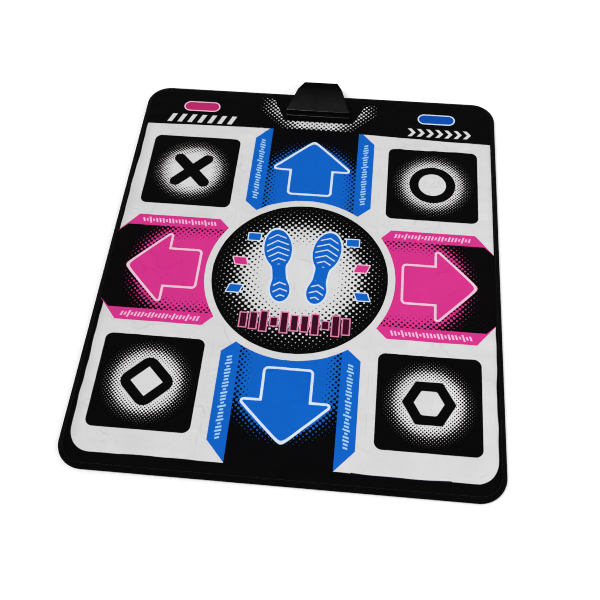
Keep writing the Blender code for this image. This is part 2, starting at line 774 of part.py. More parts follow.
def film_tail(board_front, on_board):
    """The ribbon from the upper film, over the lower shell's rim and up onto the board."""
    start = (BOX_FRONT, UPPER_FILM_BOTTOM)
    rise_start = BOX_FRONT + TAIL_FLAT_LENGTH
    rise = on_board - UPPER_FILM_BOTTOM
    path = [start]
    rise_end = board_front - CLEARANCE
    for step in range(TAIL_RISE_STEPS + 1):
        share = step / TAIL_RISE_STEPS
        y = rise_start + (rise_end - rise_start) * share
        path.append((y, UPPER_FILM_BOTTOM + rise * (3 - 2 * share) * share * share))
    path.append((board_front + TAIL_ON_BOARD, on_board))
    top = [(y, z + FILM_THICKNESS) for y, z in path]
    ribbon = plate(
        "film_tail", [path + list(reversed(top))], -TAIL_WIDTH / 2, TAIL_WIDTH / 2, film
    )
    # The outline was drawn in (y, z), so it is turned to stand across X.
    stand = Matrix(((0, 0, 1, 0), (1, 0, 0, 0), (0, 1, 0, 0), (0, 0, 0, 1)))
    ribbon.data.transform(stand)
    return ribbon


def cord_bush():
    """The rubber bush in the rear wall where the controller's lead leaves the box."""
    wall_outer, wall_inner = BOX_REAR, BOX_REAR - BOX_WALL
    outer_start, inner_end = wall_outer + CLEARANCE, wall_inner - CLEARANCE
    bush = cylinder(
        "cord_bush",
        BUSH_RADIUS,
        (0, inner_end - BUSH_FLANGE_THICKNESS / 2, BUSH_HEIGHT),
        (0, outer_start + BUSH_FLANGE_THICKNESS / 2, BUSH_HEIGHT),
        parts,
    )
    flanges = {"outer_flange": outer_start, "inner_flange": inner_end - BUSH_FLANGE_THICKNESS}
    for name, y in flanges.items():
        low, high = (0, y, BUSH_HEIGHT), (0, y + BUSH_FLANGE_THICKNESS, BUSH_HEIGHT)
        combine(bush, cylinder(name, BUSH_FLANGE_RADIUS, low, high), "UNION")
    combine(bush, bush_cutter("bush_bore", BUSH_BORE_RADIUS), "DIFFERENCE")
    bush.data.materials.append(rubber)
    return bush


def build():
    pads = pad_list()
    panels = sheets(pads)
    for more in (top_sheets(pads), bindings()):
        for panel, objects in more.items():
            panels[panel] += objects
    patches = switches(pads)
    upper_shell()
    lower_shell()
    case_screws()
    board_pieces()
    cord_bush()

    folds = {"middle": None}
    for panel in ("left", "right"):
        place = Vector((SIDES[panel] * FOLD_X, 0, MAT_TOP))
        folds[panel] = axis_empty(f"{panel}_fold_axis", place)
        for obj in panels[panel]:
            attach(obj, folds[panel])
    for name, panel, (x, y), _ in pads:
        carrier = axis_empty(f"{name}_press_axis", Vector((x, y, MAT_TOP)), folds[panel])
        for obj in patches[name]:
            attach(obj, carrier)
    for obj in parts.objects:
        if obj.type == "MESH":
            smooth(obj)


clear_scene()
parts = new_collection("dance_mat_controller")
cutters = new_collection("cutters")

cover = material("printed_cover", (0.68, 0.68, 0.69), 0.55)
black_print = material("black_print", (0.006, 0.006, 0.006), 0.5)
pink = material("pink_print", (0.68, 0.035, 0.25), 0.5)
blue = material("blue_print", (0.006, 0.13, 0.57), 0.5)
tape_cloth = material("binding_tape", (0.004, 0.004, 0.004), 0.75)
base_cloth = material("base_cloth", (0.012, 0.012, 0.013), 0.85)
foam = material("core_foam", (0.30, 0.30, 0.31), 0.95)
spacer = material("spacer_foam", (0.62, 0.62, 0.60), 0.95)
film = material("contact_film", (0.55, 0.58, 0.60), 0.25)
carbon = material("carbon_contact", (0.01, 0.01, 0.011), 0.45)
shell_plastic = material("shell_plastic", (0.012, 0.012, 0.013), 0.38)
tail_plastic = material("clamp_plastic", (0.55, 0.53, 0.47), 0.5)
board_green = material("board_green", (0.01, 0.12, 0.04), 0.4)
chip_black = material("chip_black", (0.012, 0.012, 0.012), 0.3)
steel = material("screw_steel", (0.55, 0.55, 0.56), 0.3, 1.0)
rubber = material("bush_rubber", (0.01, 0.01, 0.01), 0.7)

build()
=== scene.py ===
import math

import bpy
import numpy as np
from mathutils import Matrix, Vector, noise


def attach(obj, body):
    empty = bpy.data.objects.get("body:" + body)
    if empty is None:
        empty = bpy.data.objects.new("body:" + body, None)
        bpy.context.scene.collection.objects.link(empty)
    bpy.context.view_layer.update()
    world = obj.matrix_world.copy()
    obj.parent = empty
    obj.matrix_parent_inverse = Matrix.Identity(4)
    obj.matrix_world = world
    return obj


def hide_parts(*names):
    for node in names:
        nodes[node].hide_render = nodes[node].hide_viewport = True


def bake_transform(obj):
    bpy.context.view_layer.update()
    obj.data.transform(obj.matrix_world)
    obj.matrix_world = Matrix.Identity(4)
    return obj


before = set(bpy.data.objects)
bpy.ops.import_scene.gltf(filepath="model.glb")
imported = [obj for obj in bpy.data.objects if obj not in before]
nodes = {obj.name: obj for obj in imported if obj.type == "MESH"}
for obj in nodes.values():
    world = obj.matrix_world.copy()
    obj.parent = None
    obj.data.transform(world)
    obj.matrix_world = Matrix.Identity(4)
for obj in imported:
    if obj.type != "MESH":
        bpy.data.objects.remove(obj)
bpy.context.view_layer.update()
scene = bpy.context.scene

# Sizes in metres, as in the CAD: _W is a width or reach, _H a height and _R a radius
HALF_W, HALF_L = 0.410, 0.4825
CORNER_R = 0.052
TOP = 0.018
ROLL_W, ROLL_H = 0.024, 0.011
ROLL_MID = TOP - ROLL_H
UNDER_W = 0.005
TAPE_W = 0.0125
FOLD_X = 0.153
CUT_X = 0.141
BLEND_END = 0.165
GRID_Y = -0.040
SQUARE_X, SQUARE_Y, SQUARE_HALF = 0.268, 0.263, 0.099
SMALL_X, SMALL_Y = 0.275, 0.419
BOX_FRONT, BOX_SHOULDER, BOX_REAR = 0.394, 0.470, 0.506
BOX_HALF = (0.0735, 0.052, 0.039)
PANELS = {-1: "left_panel", 0: "middle_panel", 1: "right_panel"}
SIDE_NAMES = {-1: "left", 0: "middle", 1: "right"}

# Sizes of what only this scene shapes, in metres
GRID_CELL, FOLD_CELLS = 0.0042, 8
BORDER_W = 0.028
RIPPLE_LENGTH, RIPPLE_HEIGHT = 0.0072, 0.0009
CREASE_REACH = 0.05
# the creases' scale, noise seed and height
CREASES = ((9.0, 31.0, 0.0012), (15.0, 37.0, 0.0008))
FOLD_GROOVE_W, FOLD_GROOVE_DEPTH = 0.0055, 0.00045
COVER_SINK = 0.0001
BOX_GAP, BOX_LAP, BOX_ZONE = 0.0003, 0.003, 0.085
FLAT_START, FLAT_FADE = 0.375, 0.02
COVER_PUCKER = 0.00035
EDGE_MIDDLE = 0.014
TAPE_RISE = 0.00055
SEAM_PLACE, SEAM_SPREAD, SEAM_DEPTH = 0.0036, 0.0013, 0.00042
PUCKER_HEIGHT, PUCKER_REACH, PUCKER_END = 0.00028, 0.007, 0.015
SEAM_SHARE, TAPE_SEED = 0.75, 9.0
STITCH_PITCH, STITCH_HALF = 0.0052, 0.0018
STITCH_INSET, THREAD_DEPTH = TAPE_W - 0.0031, 0.00034
THREAD_SIDES = 6
THREAD_END, THREAD_BODY = (0.00014, -0.00018), (0.00030, 0.00004)
BASE_HEIGHT = 0.0003
SHELL_BEVEL, FOAM_BEVEL = 0.0011, 0.0006
FLOOR_HALF, FLOOR_HEIGHT = 9.0, -0.0012

# millimetres in a metre
MM = 1000.0

# every switch: name, panel side, centre, half size
PADS = []
for side in (-1, 1):
    word = SIDE_NAMES[side]
    PADS.append((f"back_{word}", side, (side * SQUARE_X, GRID_Y + SQUARE_Y), (SQUARE_HALF, SQUARE_HALF)))
    PADS.append((f"front_{word}", side, (side * SQUARE_X, GRID_Y - SQUARE_Y), (SQUARE_HALF, SQUARE_HALF)))
    PADS.append((f"arrow_{word}", side, (side * 0.2875, GRID_Y), (0.0875, 0.095)))
    PADS.append((f"small_{word}", side, (side * SMALL_X, SMALL_Y), (0.043, 0.016)))
PADS.append(("arrow_back", 0, (0.0, GRID_Y + 0.285), (0.095, 0.085)))
PADS.append(("arrow_front", 0, (0.0, GRID_Y - 0.285), (0.095, 0.085)))


def flank(y):
    """Half the control box's width at y."""
    if y < BOX_SHOULDER:
        t = (y - BOX_FRONT) / (BOX_SHOULDER - BOX_FRONT)
        return BOX_HALF[0] + (BOX_HALF[1] - BOX_HALF[0]) * t
    t = (y - BOX_SHOULDER) / (BOX_REAR - BOX_SHOULDER)
    return BOX_HALF[1] + (BOX_HALF[2] - BOX_HALF[1]) * t


# Materials: small helpers
tree = None


class Value:
    """A number in a node tree. Python's operators make Math nodes."""

    def __init__(self, socket):
        self.socket = socket

    def __add__(self, other):
        return calc("ADD", self, other)

    def __sub__(self, other):
        return calc("SUBTRACT", self, other)

    def __rsub__(self, other):
        return calc("SUBTRACT", other, self)

    def __mul__(self, other):
        return calc("MULTIPLY", self, other)

    def __neg__(self):
        return calc("MULTIPLY", self, -1.0)


def add_node(kind, **settings):
    """A new node in the tree at hand."""
    node = tree.nodes.new("ShaderNode" + kind)
    for name, value in settings.items():
        setattr(node, name, value)
    return node


def plug(socket, value):
    """Links a value to a socket, or sets the socket where it is a plain number."""
    if isinstance(value, Value):
        value = value.socket
    if isinstance(value, bpy.types.NodeSocket):
        tree.links.new(value, socket)
    else:
        socket.default_value = value


def fill(node, inputs):
    """Gives a node's inputs their values, by name."""
    for name, value in inputs.items():
        plug(node.inputs[name], value)


def wired(node, *values):
    """Gives a node's inputs their values, in order, and returns its first output."""
    for socket, value in zip(node.inputs, values):
        plug(socket, value)
    return node.outputs[0]


def calc(operation, *values, clamp=False):
    return Value(wired(add_node("Math", operation=operation, use_clamp=clamp), *values))


def times_plus(value, factor, rest):
    """value * factor + rest, as one node."""
    return calc("MULTIPLY_ADD", value, factor, rest)


def vec(x, y, z=0.0):
    return wired(add_node("CombineXYZ"), x, y, z)


def length(x, y):
    node = add_node("VectorMath", operation="LENGTH")
    plug(node.inputs[0], vec(x, y))
    return Value(node.outputs["Value"])


def absolute(x):
    return calc("ABSOLUTE", x)


def low(*args):
    out = args[0]
    for a in args[1:]:
        out = calc("MINIMUM", out, a)
    return out


def high(*args):
    out = args[0]
    for a in args[1:]:
        out = calc("MAXIMUM", out, a)
    return out


def ramp(x, a, b, c=0.0, d=1.0):
    """x from a..b to c..d, clamped, as one node."""
    node = add_node("MapRange")
    fill(node, {"Value": x, "From Min": a, "From Max": b, "To Min": c, "To Max": d})
    return Value(node.outputs["Result"])


def inside(d, soft=0.5):
    """1 where the distance d is below 0, with an edge that is soft millimetres wide."""
    return calc("MULTIPLY_ADD", d, -1.0 / soft, 0.5, clamp=True)


def rounded(a, b, r):
    """Distance to the corner of two edges at right angles, rounded with the radius r."""
    qa, qb = a + r, b + r
    return length(high(qa, 0.0), high(qb, 0.0)) + low(high(qa, qb), 0.0) - r


def box_sdf(x, y, hx, hy, r):
    """Distance to a rounded rectangle; x and y are from its centre."""
    return rounded(absolute(x) - hx, absolute(y) - hy, r)


def steps(x, *knots):
    """A rising line through the given points (x, value), with 0 before the first."""
    out = None
    for (a, start), (b, end) in zip(knots, knots[1:]):
        part = ramp(x, a, b, 0.0, end - start)
        out = part if out is None else out + part
    return out


def half_plane(x, y, nx, ny, c):
    """Distance from the line nx * x + ny * y = c, positive beyond it."""
    n = math.hypot(nx, ny)
    return times_plus(x, nx / n, times_plus(y, ny / n, -c / n))


def through(x, y, p, q):
    """Distance from the line through p and q, positive on its right."""
    dx, dy = q[0] - p[0], q[1] - p[1]
    return half_plane(x, y, dy, -dx, dy * p[0] - dx * p[1])


def mix(mask, under, over):
    node = add_node("Mix", data_type="RGBA")
    plug(node.inputs["Factor"], mask)
    for socket, colour in ((node.inputs[6], under), (node.inputs[7], over)):
        plug(socket, (*colour, 1.0) if isinstance(colour, tuple) else colour)
    return node.outputs[2]


def mix_value(mask, under, over):
    node = add_node("Mix", data_type="FLOAT")
    plug(node.inputs["Factor"], mask)
    plug(node.inputs[2], under)
    plug(node.inputs[3], over)
    return Value(node.outputs[0])


def split(vector):
    """The three numbers of a vector."""
    node = add_node("SeparateXYZ")
    plug(node.inputs[0], vector)
    return [Value(out) for out in node.outputs]


def uv_xy(name):
    """The two coordinates of a UV map, in millimetres."""
    x, y, _ = split(add_node("UVMap", uv_map=name).outputs[0])
    return x * MM, y * MM


def object_point():
    return add_node("TexCoord").outputs["Object"]


def noise_value(vector, scale, detail=2.0, rough=0.5):
    node = add_node("TexNoise")
    fill(node, {"Vector": vector, "Scale": scale, "Detail": detail, "Roughness": rough})
    return Value(node.outputs["Fac"])


def bump(height, strength, distance, under=None):
    node = add_node("Bump")
    fill(node, {"Strength": strength, "Distance": distance, "Height": height})
    if under is not None:
        plug(node.inputs["Normal"], under)
    return node.outputs["Normal"]


def new_material(name, roughness=0.5, specular=0.5, metallic=0.0):
    """A new material whose nodes the helpers above now add to. It returns it and its shader."""
    global tree
    made = bpy.data.materials.new(name)
    made.use_nodes = True
    tree = made.node_tree
    shader = tree.nodes["Principled BSDF"]
    fill(shader, {"Roughness": roughness, "Specular IOR Level": specular, "Metallic": metallic})
    return made, shader


# The printed cover
WHITE = (0.68, 0.68, 0.685)
BLACK = (0.0016, 0.0016, 0.0018)
BLUE = (0.0052, 0.122, 0.560)
PINK = (0.665, 0.034, 0.255)
PALE_BLUE = (0.66, 0.77, 0.90)
PALE_PINK = (0.84, 0.55, 0.68)
MAROON = (0.045, 0.004, 0.017)
ROSE = (0.74, 0.22, 0.40)
NAVY = (0.004, 0.005, 0.014)
STROKE_BLUE, STROKE_PINK = (0.36, 0.64, 0.92), (0.92, 0.49, 0.70)
PILL_BLUE, PILL_PINK = (0.0044, 0.075, 0.42), (0.50, 0.023, 0.142)

# Sizes of the print, in millimetres; places are measured from the middle of the grid of pads
FIELD_FRONT, FIELD_CORNER = 412, 45
HEADER = 402
COLUMN_HALF, BLUE_EDGE, BLUE_INNER = 99, 136, 109
ROW_HALF, PINK_EDGE, ROW_END = 104, 132, 402
DISC_RIM, DISC_HALF, DISC_GLOW = 196, 181, 178
HEAD_SLOPE, HEAD_TIP, WING_ROUND, ARROW_LINE = 0.98, 370.8, 5, 2.6
WING_X, WING_Y = 78.06, 287.3
SHAFT_HALF, SHAFT_END = 46.7, 214
SQUARE_ROUND, SQUARE_GLOW = 15, 95
ARM_X, ARM_Y, ARM_LENGTH, ARM_HALF = 31, 33, 45.28, 12.8
HOOP_R, HOOP_HALF = 40.1, 10.1
DIAMOND_R, DIAMOND_ROUND, DIAMOND_HALF = 32, 11, 9.8
HEXAGON_R, HEXAGON_ROUND, HEXAGON_HALF = 34.5, 5, 9.6
STROKE_PERIOD, STROKE_HALF = 7, 1.89
PILL_HALF_X, PILL_HALF_Y, PILL_ROUND, PILL_RIM = 43, 15.5, 15.4, 3
BAR_X, BAR_Y, BAR_PERIOD, BAR_HALF, BAR_TALL = -269, 419.5, 23.5, 5.4, 12.5
CHEVRON_X, CHEVRON_Y, CHEVRON_PERIOD, CHEVRON_HALF, CHEVRON_TALL = 287, 416, 21, 4.4, 12
LEVEL_Y, LEVEL_PERIOD, LEVEL_HALF, LEVEL_RIM = -112, 20.5, 6.2, 2.6
HEADER_MARKS, LEVEL_BARS = 7, 11
SOLE_X, SOLE_Y, SOLE_TURN, SOLE_RIM = 46, 26, math.radians(-8), 3.4
ARROW_PITCH, SQUARE_PITCH, BOX_PITCH, DISC_PITCH = 8.1, 5.13, 7.95, 9.57
BESIDE_BOX = 0.31
DOT_EDGE = 3.5


def halftone(x, y, pitch, t):
    """Dots of a 45 degree screen. t is 0 where all is covered and 1 where nothing is."""
    turn = 2 * math.pi / (pitch * math.sqrt(2))
    f = calc("COSINE", x * turn) * calc("COSINE", y * turn)
    return calc("MULTIPLY_ADD", f - times_plus(t, 2.3, -1.15), DOT_EDGE, 0.5, clamp=True)


def outlined(colour, d, width, rim, ink):
    """A shape in the colour ink, with a rim inside the line where the distance d is 0."""
    colour = mix(inside(d), colour, rim)
    return mix(inside(d + width), colour, ink)


def row(run, period, count):
    """A row of equal cells centred on 0: the cell's number and the place within it."""
    shift = 0.5 if count % 2 == 0 else 0
    number = calc("ROUND", times_plus(run, 1 / period, shift)) - shift
    return number, times_plus(number, -period, run)


def beyond(number, count):
    """Far outside for the cells beyond the row's ends."""
    return times_plus(absolute(number), 400, -400 * count / 2)


def waveform(s, t, count, seed):
    """A row of slanted strokes of changing height, as a sound meter draws them."""
    number, place = row(times_plus(t, -0.3, s), STROKE_PERIOD, count)
    tall = times_plus(calc("SINE", number * 2.4 + seed) * calc("SINE", number * 0.55), 2.6, 5)
    return inside(high(absolute(place) - STROKE_HALF, absolute(t) - tall, beyond(number, count)), 0.8)


def print_colour(x, y):
    """The cover's print at x, y in millimetres from the middle of the grid of pads."""
    au, av = absolute(x), absolute(y)
    right = calc("GREATER_THAN", x, 0)
    header = y - HEADER + ramp(x, -373, -163, 4.2, 0) + ramp(x, 60, 345, 0, 10.6)
    colour = white_field(x, y, header)
    colour = bands(colour, au, av, header)
    colour = arrows(colour, x, y, au, av)
    colour = corner_squares(colour, y, au, av, right)
    colour = band_strokes(colour, au, av)
    colour = mix(inside(-header), colour, BLACK)
    colour = header_marks(colour, x, y, au, right)
    colour = box_halftone(colour, x, y)
    colour = round_middle(colour, x, y)
    colour = shoe_soles(colour, y, au)
    colour = level_bars(colour, x, y)
    return tiles(colour, y, au)


def white_field(x, y, header):
    """The white field inside a black border, a little wavy and not quite square, as it was printed."""
    wobble = calc("SINE", x * 0.021) * 1.3 + calc("SINE", x * 0.067) * 0.5
    front = times_plus(y, -1, wobble - FIELD_FRONT)
    waver = calc("SINE", y * 0.047) * 0.6 + calc("SINE", y * 0.11) * 0.4
    left_end = ramp(y, -150, 170, 389.7, 395.3) - ramp(y, 190, 330, 0, 2.4)
    right_end = ramp(y, -230, 190, 394.3, 401.7) - ramp(y, 190, 300, 0, 2.2)
    sides = high(x - right_end, -x - left_end) + waver
    ends = -y - (FIELD_FRONT - FIELD_CORNER)
    corner = length(high(sides + FIELD_CORNER, 0), high(ends, 0)) - FIELD_CORNER
    colour = mix(inside(high(sides, front, corner, header), 0.8), BLACK, WHITE)
    line = inside(high(absolute(front + 0.4) - 0.9, absolute(x - 220) - 90), 0.8)
    return mix(line, colour, NAVY)


def bands(colour, au, av, header):
    """Blue bands beside the black columns, and pink bands beside the black rows."""
    blue_band = high(
        au - BLUE_EDGE,
        through(au, av, (BLUE_INNER, 400), (BLUE_EDGE, 370)) * -1,
        through(au, av, (BLUE_EDGE, 186), (BLUE_INNER, 162)) * -1,
        av - 411,
        header,
    )
    colour = mix(inside(blue_band, 0.8), colour, BLUE)
    colour = mix(inside(au - COLUMN_HALF), colour, BLACK)
    pink_band = high(
        av - PINK_EDGE,
        through(au, av, (392, 92), (359, PINK_EDGE)),
        through(au, av, (183, PINK_EDGE), (163, 111)),
        au - ROW_END,
        150 - au,
    )
    colour = mix(inside(pink_band, 0.8), colour, PINK)
    corner = through(au, av, (ROW_END, 80), (378, ROW_HALF))
    return mix(inside(high(av - ROW_HALF, COLUMN_HALF - au, corner)), colour, BLACK)


def arrows(colour, x, y, au, av):
    """Block arrows with a pale outline and a halftone glow: blue in the columns, pink in the rows."""
    reach, across = high(au, av), low(au, av)
    upright = calc("GREATER_THAN", av, au)
    ink = mix(upright, PINK, BLUE)
    edge = mix_value(upright, ROW_HALF, COLUMN_HALF)
    run = reach * mix_value(upright, 1 / 0.983, 1)
    away = length(across * mix_value(upright, 0.93, 1), high(run - 245, 0))
    fade = steps(away, (62, 0), (80, 0.2), (98, 0.5), (112, 0.83), (130, 0.98))
    glow = halftone(x, y, ARROW_PITCH, fade) * inside(high(across - edge, reach - ROW_END))
    colour = mix(glow, colour, ink)

    # each wing of the head ends in a small round
    side = calc("SQRT", times_plus(across, across, 40))
    slope = half_plane(side, run, HEAD_SLOPE, 1, HEAD_TIP)
    wing_x, wing_y = side - WING_X, run - WING_Y
    beside = calc("GREATER_THAN", low(wing_x, times_plus(wing_y, -HEAD_SLOPE, wing_x)), 0)
    head = mix_value(beside, high(slope + WING_ROUND, -wing_y), length(wing_x, wing_y)) - WING_ROUND
    shaft = high(rounded(across - SHAFT_HALF, SHAFT_END - run, 8), run - 300)
    arrow = calc("SMOOTH_MIN", head, shaft, 3)
    pale = mix(upright, PALE_PINK, PALE_BLUE)
    return outlined(colour, arrow - ARROW_LINE, 2 * ARROW_LINE, pale, ink)


def corner_squares(colour, y, au, av, right):
    """Black squares with a halftone glow and a plain figure."""
    du, dv = au - SQUARE_X * MM, av - SQUARE_Y * MM
    a, b = absolute(du), absolute(dv)
    square = box_sdf(a, b, SQUARE_HALF * MM, SQUARE_HALF * MM, SQUARE_ROUND)
    colour = mix(inside(square), colour, BLACK)
    r = length(a, b)
    fade = steps(r, (40, 0), (53, 0.31), (65, 0.55), (73, 0.82), (81, 0.915), (91, 1))
    glow = halftone(du, dv, SQUARE_PITCH, fade) * inside(r - SQUARE_GLOW)
    colour = mix(glow, colour, WHITE)
    along = times_plus(a, ARM_X / ARM_LENGTH, b * (ARM_Y / ARM_LENGTH))
    off = times_plus(a, ARM_Y / ARM_LENGTH, b * (-ARM_X / ARM_LENGTH))
    cross = length(high(along - ARM_LENGTH, 0), off) - ARM_HALF
    hoop = absolute(r - HOOP_R) - HOOP_HALF
    p, q = (a + b) * 0.7071 - DIAMOND_R, absolute(a - b) * 0.7071 - DIAMOND_R
    diamond = absolute(rounded(p, q, DIAMOND_ROUND)) - DIAMOND_HALF
    across = calc("SMOOTH_MAX", a * 0.866 + b * 0.5, b, HEXAGON_ROUND)
    hexagon = absolute(across - HEXAGON_R) - HEXAGON_HALF
    upper = mix_value(right, cross, hoop)
    lower = mix_value(right, diamond, hexagon)
    figure = mix_value(calc("GREATER_THAN", y, 0), lower, upper)
    return mix(inside(figure), colour, BLACK)


def band_strokes(colour, au, av):
    """Small strokes along the bands."""
    strokes = waveform(av - 281, au - 117.5, 25, 0.6) * inside(au - 135)
    colour = mix(strokes, colour, STROKE_BLUE)
    strokes = waveform(au - 270, av - 118, 23, 1.9) * inside(BLUE_EDGE - au)
    return mix(strokes, colour, STROKE_PINK)


def header_marks(colour, x, y, au, right):
    """A pill on each side of the header, slanted bars on its left and chevrons on its right."""
    pill_x, pill_y = au - SMALL_X * MM, y - (SMALL_Y - GRID_Y) * MM
    pill = box_sdf(pill_x, pill_y, PILL_HALF_X, PILL_HALF_Y, PILL_ROUND)
    rim, ink = mix(right, PALE_PINK, PALE_BLUE), mix(right, PILL_PINK, PILL_BLUE)
    colour = outlined(colour, pill, PILL_RIM, rim, ink)
    t = y - BAR_Y
    number, place = row(times_plus(t, -0.4, x - BAR_X), BAR_PERIOD, HEADER_MARKS)
    bars = high(absolute(place) - BAR_HALF, absolute(t) - BAR_TALL, beyond(number, HEADER_MARKS))
    t = absolute(y - CHEVRON_Y)
    number, place = row(times_plus(t, 0.8, x - CHEVRON_X), CHEVRON_PERIOD, HEADER_MARKS)
    chevrons = high(absolute(place) - CHEVRON_HALF, t - CHEVRON_TALL, beyond(number, HEADER_MARKS))
    return mix(inside(mix_value(right, bars, chevrons), 0.8), colour, WHITE)


def box_halftone(colour, x, y):
    """The halftone round the control box, with none under its skirt."""
    skirt = high(430.2 - y, through(absolute(x - 3), y, (82.3, 437), (109.3, 497)))
    thin = steps(skirt, (0, 0), (14, 0.03), (20, 0.12), (26, 0.60), (30, 0.70)) + BESIDE_BOX
    thin = mix_value(ramp(y, 430, 434), thin, BESIDE_BOX)
    out = absolute(x - 1.5) - ramp(y, 400, 457, -21, 39)
    thin = high(thin, steps(out, (30, 0), (70, 0.37), (85, 0.54), (100, 0.69), (108, 0.75)) + 0.295)
    thin = high(thin, ramp(times_plus(x, 0.03, y), 479, 497, 0.3, 1))
    dots = halftone(x, y - 1.5, BOX_PITCH, thin) * inside(0.5 - skirt) * inside(400 - y)
    return mix(dots, colour, WHITE)


def round_middle(colour, x, y):
    """A black disc with a white rim and a halftone glow."""
    disc = length(x, y)
    colour = outlined(colour, disc - DISC_RIM, DISC_RIM - DISC_HALF, WHITE, BLACK)
    fade = steps(disc, (72, 0), (114, 0.38), (138, 0.74), (150, 0.845), (165, 0.935), (DISC_GLOW, 0.985))
    glow = halftone(x, y, DISC_PITCH, fade) * inside(disc - DISC_GLOW)
    return mix(glow, colour, WHITE)


def oval(x, y, half_x, half_y, size):
    """About the distance to an oval, scaled to be -size at its centre."""
    return length(x * (1 / half_x), y * (1 / half_y)) * size - size


def shoe_soles(colour, y, au):
    """A pair of shoe soles, with a zigzag tread on all but the waist."""
    px, py = au - SOLE_X, y - SOLE_Y
    lx = times_plus(px, math.cos(SOLE_TURN), py * math.sin(SOLE_TURN))
    ly = times_plus(px, -math.sin(SOLE_TURN), py * math.cos(SOLE_TURN))
    toe = oval(lx, ly - 40, 32, 54, 36)
    heel = oval(lx, ly + 62, 23, 33, 26)
    waist = high(absolute(lx) - 17, absolute(ly + 22) - 24)
    sole = calc("SMOOTH_MIN", calc("SMOOTH_MIN", toe, heel, 34), waist, 8)
    colour = outlined(colour, sole, SOLE_RIM, PALE_BLUE, BLUE)
    zigzag = times_plus(absolute(lx), 0.5, ly)
    groove = absolute(calc("WRAP", zigzag, 7.5, -7.5)) - 1.5
    tread = high(groove, sole + 9, 11 - absolute(ly + 24))
    return mix(inside(tread, 0.8), colour, PALE_BLUE)


def level_bars(colour, x, y):
    """A row of bars of changing height."""
    number, place = row(x, LEVEL_PERIOD, LEVEL_BARS)
    tall = absolute(calc("SINE", number * 1.9 + 0.6)) * 15 + 8
    bar = high(absolute(place) - LEVEL_HALF, absolute(y - LEVEL_Y) - tall, beyond(number, LEVEL_BARS))
    return outlined(colour, bar - LEVEL_RIM, LEVEL_RIM, ROSE, MAROON)


def tiles(colour, y, au):
    """Small slanted tiles beside the soles."""
    for cx, cy, slant, ink, rim in (
        (126, 28, -0.35, PINK, PALE_PINK),
        (130, -40, 0.35, BLUE, PALE_BLUE),
        (104, 92, 0, BLUE, PALE_BLUE),
    ):
        t = y - cy
        tile = box_sdf(times_plus(t, slant, au - cx), t, 15, 11, 2.5)
        colour = outlined(colour, tile, 2.4, rim, ink)
    return colour


def printed_cover():
    made, shader = new_material("printed cloth", specular=0.014)
    x, y = uv_xy("rest")
    colour = print_colour(x, y - GRID_Y * MM)
    point = vec(x, y)
    # soiling: the colour shifts a little from place to place, and painted shade darkens the fold creases and
    # the side edges
    grime = noise_value(point, 0.011, 4.0, 0.6)
    shade = ramp(grime, 0.3, 0.72, 0.935, 1.025)
    fine = noise_value(point, 0.9, 2.0)
    shade = shade * ramp(fine, 0.2, 0.8, 0.975, 1.02)
    # painted shade: in patches the colour is darker along the fold creases
    crease = ramp(absolute(absolute(x) - FOLD_X * MM), 0.0, 1.6, 0.90, 1.0)
    wear_and_painted_light = ramp(noise_value(point, 0.03, 3.0), 0.45, 0.6)
    shade = shade * mix_value(wear_and_painted_light, 1.0, crease)
    # painted shade: darker towards the left and right edges, most on the left, where the cloth curves down;
    # noise spreads it in patches
    border = low(ramp(x, -400.0, -374.0, 0.80, 1.0), ramp(x, 400.0, 388.0, 0.92, 1.0))
    spread = ramp(noise_value(point, 0.015, 2.0), 0.3, 0.6, 0.4, 1.0)
    shade = shade * mix_value(spread, 1.0, border)
    shaded = add_node("VectorMath", operation="SCALE")
    plug(shaded.inputs[0], colour)
    plug(shaded.inputs["Scale"], shade)
    # plain weave of about 0.8 mm, and soft rumples
    weave = calc("SINE", x * 7.6) * calc("SINE", y * 7.6)
    normal = bump(noise_value(point, 0.035, 3.0, 0.55), 0.7, 0.0016)
    ridge = ramp(absolute(noise_value(point, 0.011, 3.0, 0.45) - 0.5), 0.022, 0.0)
    patch = ramp(noise_value(vec(x + 500.0, y), 0.007, 2.0), 0.46, 0.60)
    normal = bump(ridge * patch, 0.8, 0.0012, normal)
    normal = bump(weave, 0.25, 0.00012, normal)
    gloss = ramp(grime, 0.3, 0.8, 0.66, 0.54)
    fill(shader, {"Base Color": shaded.outputs[0], "Roughness": gloss, "Normal": normal})
    return made


def tape_material():
    made, shader = new_material("binding tape", roughness=0.78, specular=0.02)
    s, t = uv_xy("strip")
    point = vec(s, t)
    shade = ramp(noise_value(point, 0.05, 4.0), 0.3, 0.7, 0.0011, 0.0023)
    rib = calc("SINE", s * 6.0) * ramp(calc("SINE", t * 9.0), -1.0, 1.0, 0.7, 1.0)
    # painted light and shade: the colour follows the ribs' bump, lighter on the ribs and darker in the
    # grooves between them
    shade = shade * ramp(rib, -1.0, 1.0, 0.75, 1.2)
    normal = bump(rib, 0.5, 0.00018)
    normal = bump(noise_value(point, 0.09, 3.0), 0.4, 0.0009, normal)
    fill(shader, {"Base Color": vec(shade, shade, shade * 1.05), "Normal": normal})
    return made


def base_material():
    made, shader = new_material("non-slip base cloth", specular=0.2)
    x, y = uv_xy("rest")
    point = vec(x, y)
    f = calc("COSINE", x * (2 * math.pi / 7.0)) * calc("COSINE", y * (2 * math.pi / 7.0))
    dot = ramp(f, 0.45, 0.62)
    cloth = ramp(noise_value(point, 0.4, 3.0), 0.3, 0.7, 0.010, 0.019)
    value = mix_value(dot, cloth, 0.030)
    weave = calc("SINE", x * 6.4) * calc("SINE", y * 6.4)
    normal = bump(weave, 0.5, 0.00015)
    normal = bump(ramp(f, 0.4, 0.75), 0.8, 0.0005, normal)
    colour, gloss = vec(value, value, value * 1.04), mix_value(dot, 0.9, 0.48)
    fill(shader, {"Base Color": colour, "Roughness": gloss, "Normal": normal})
    return made


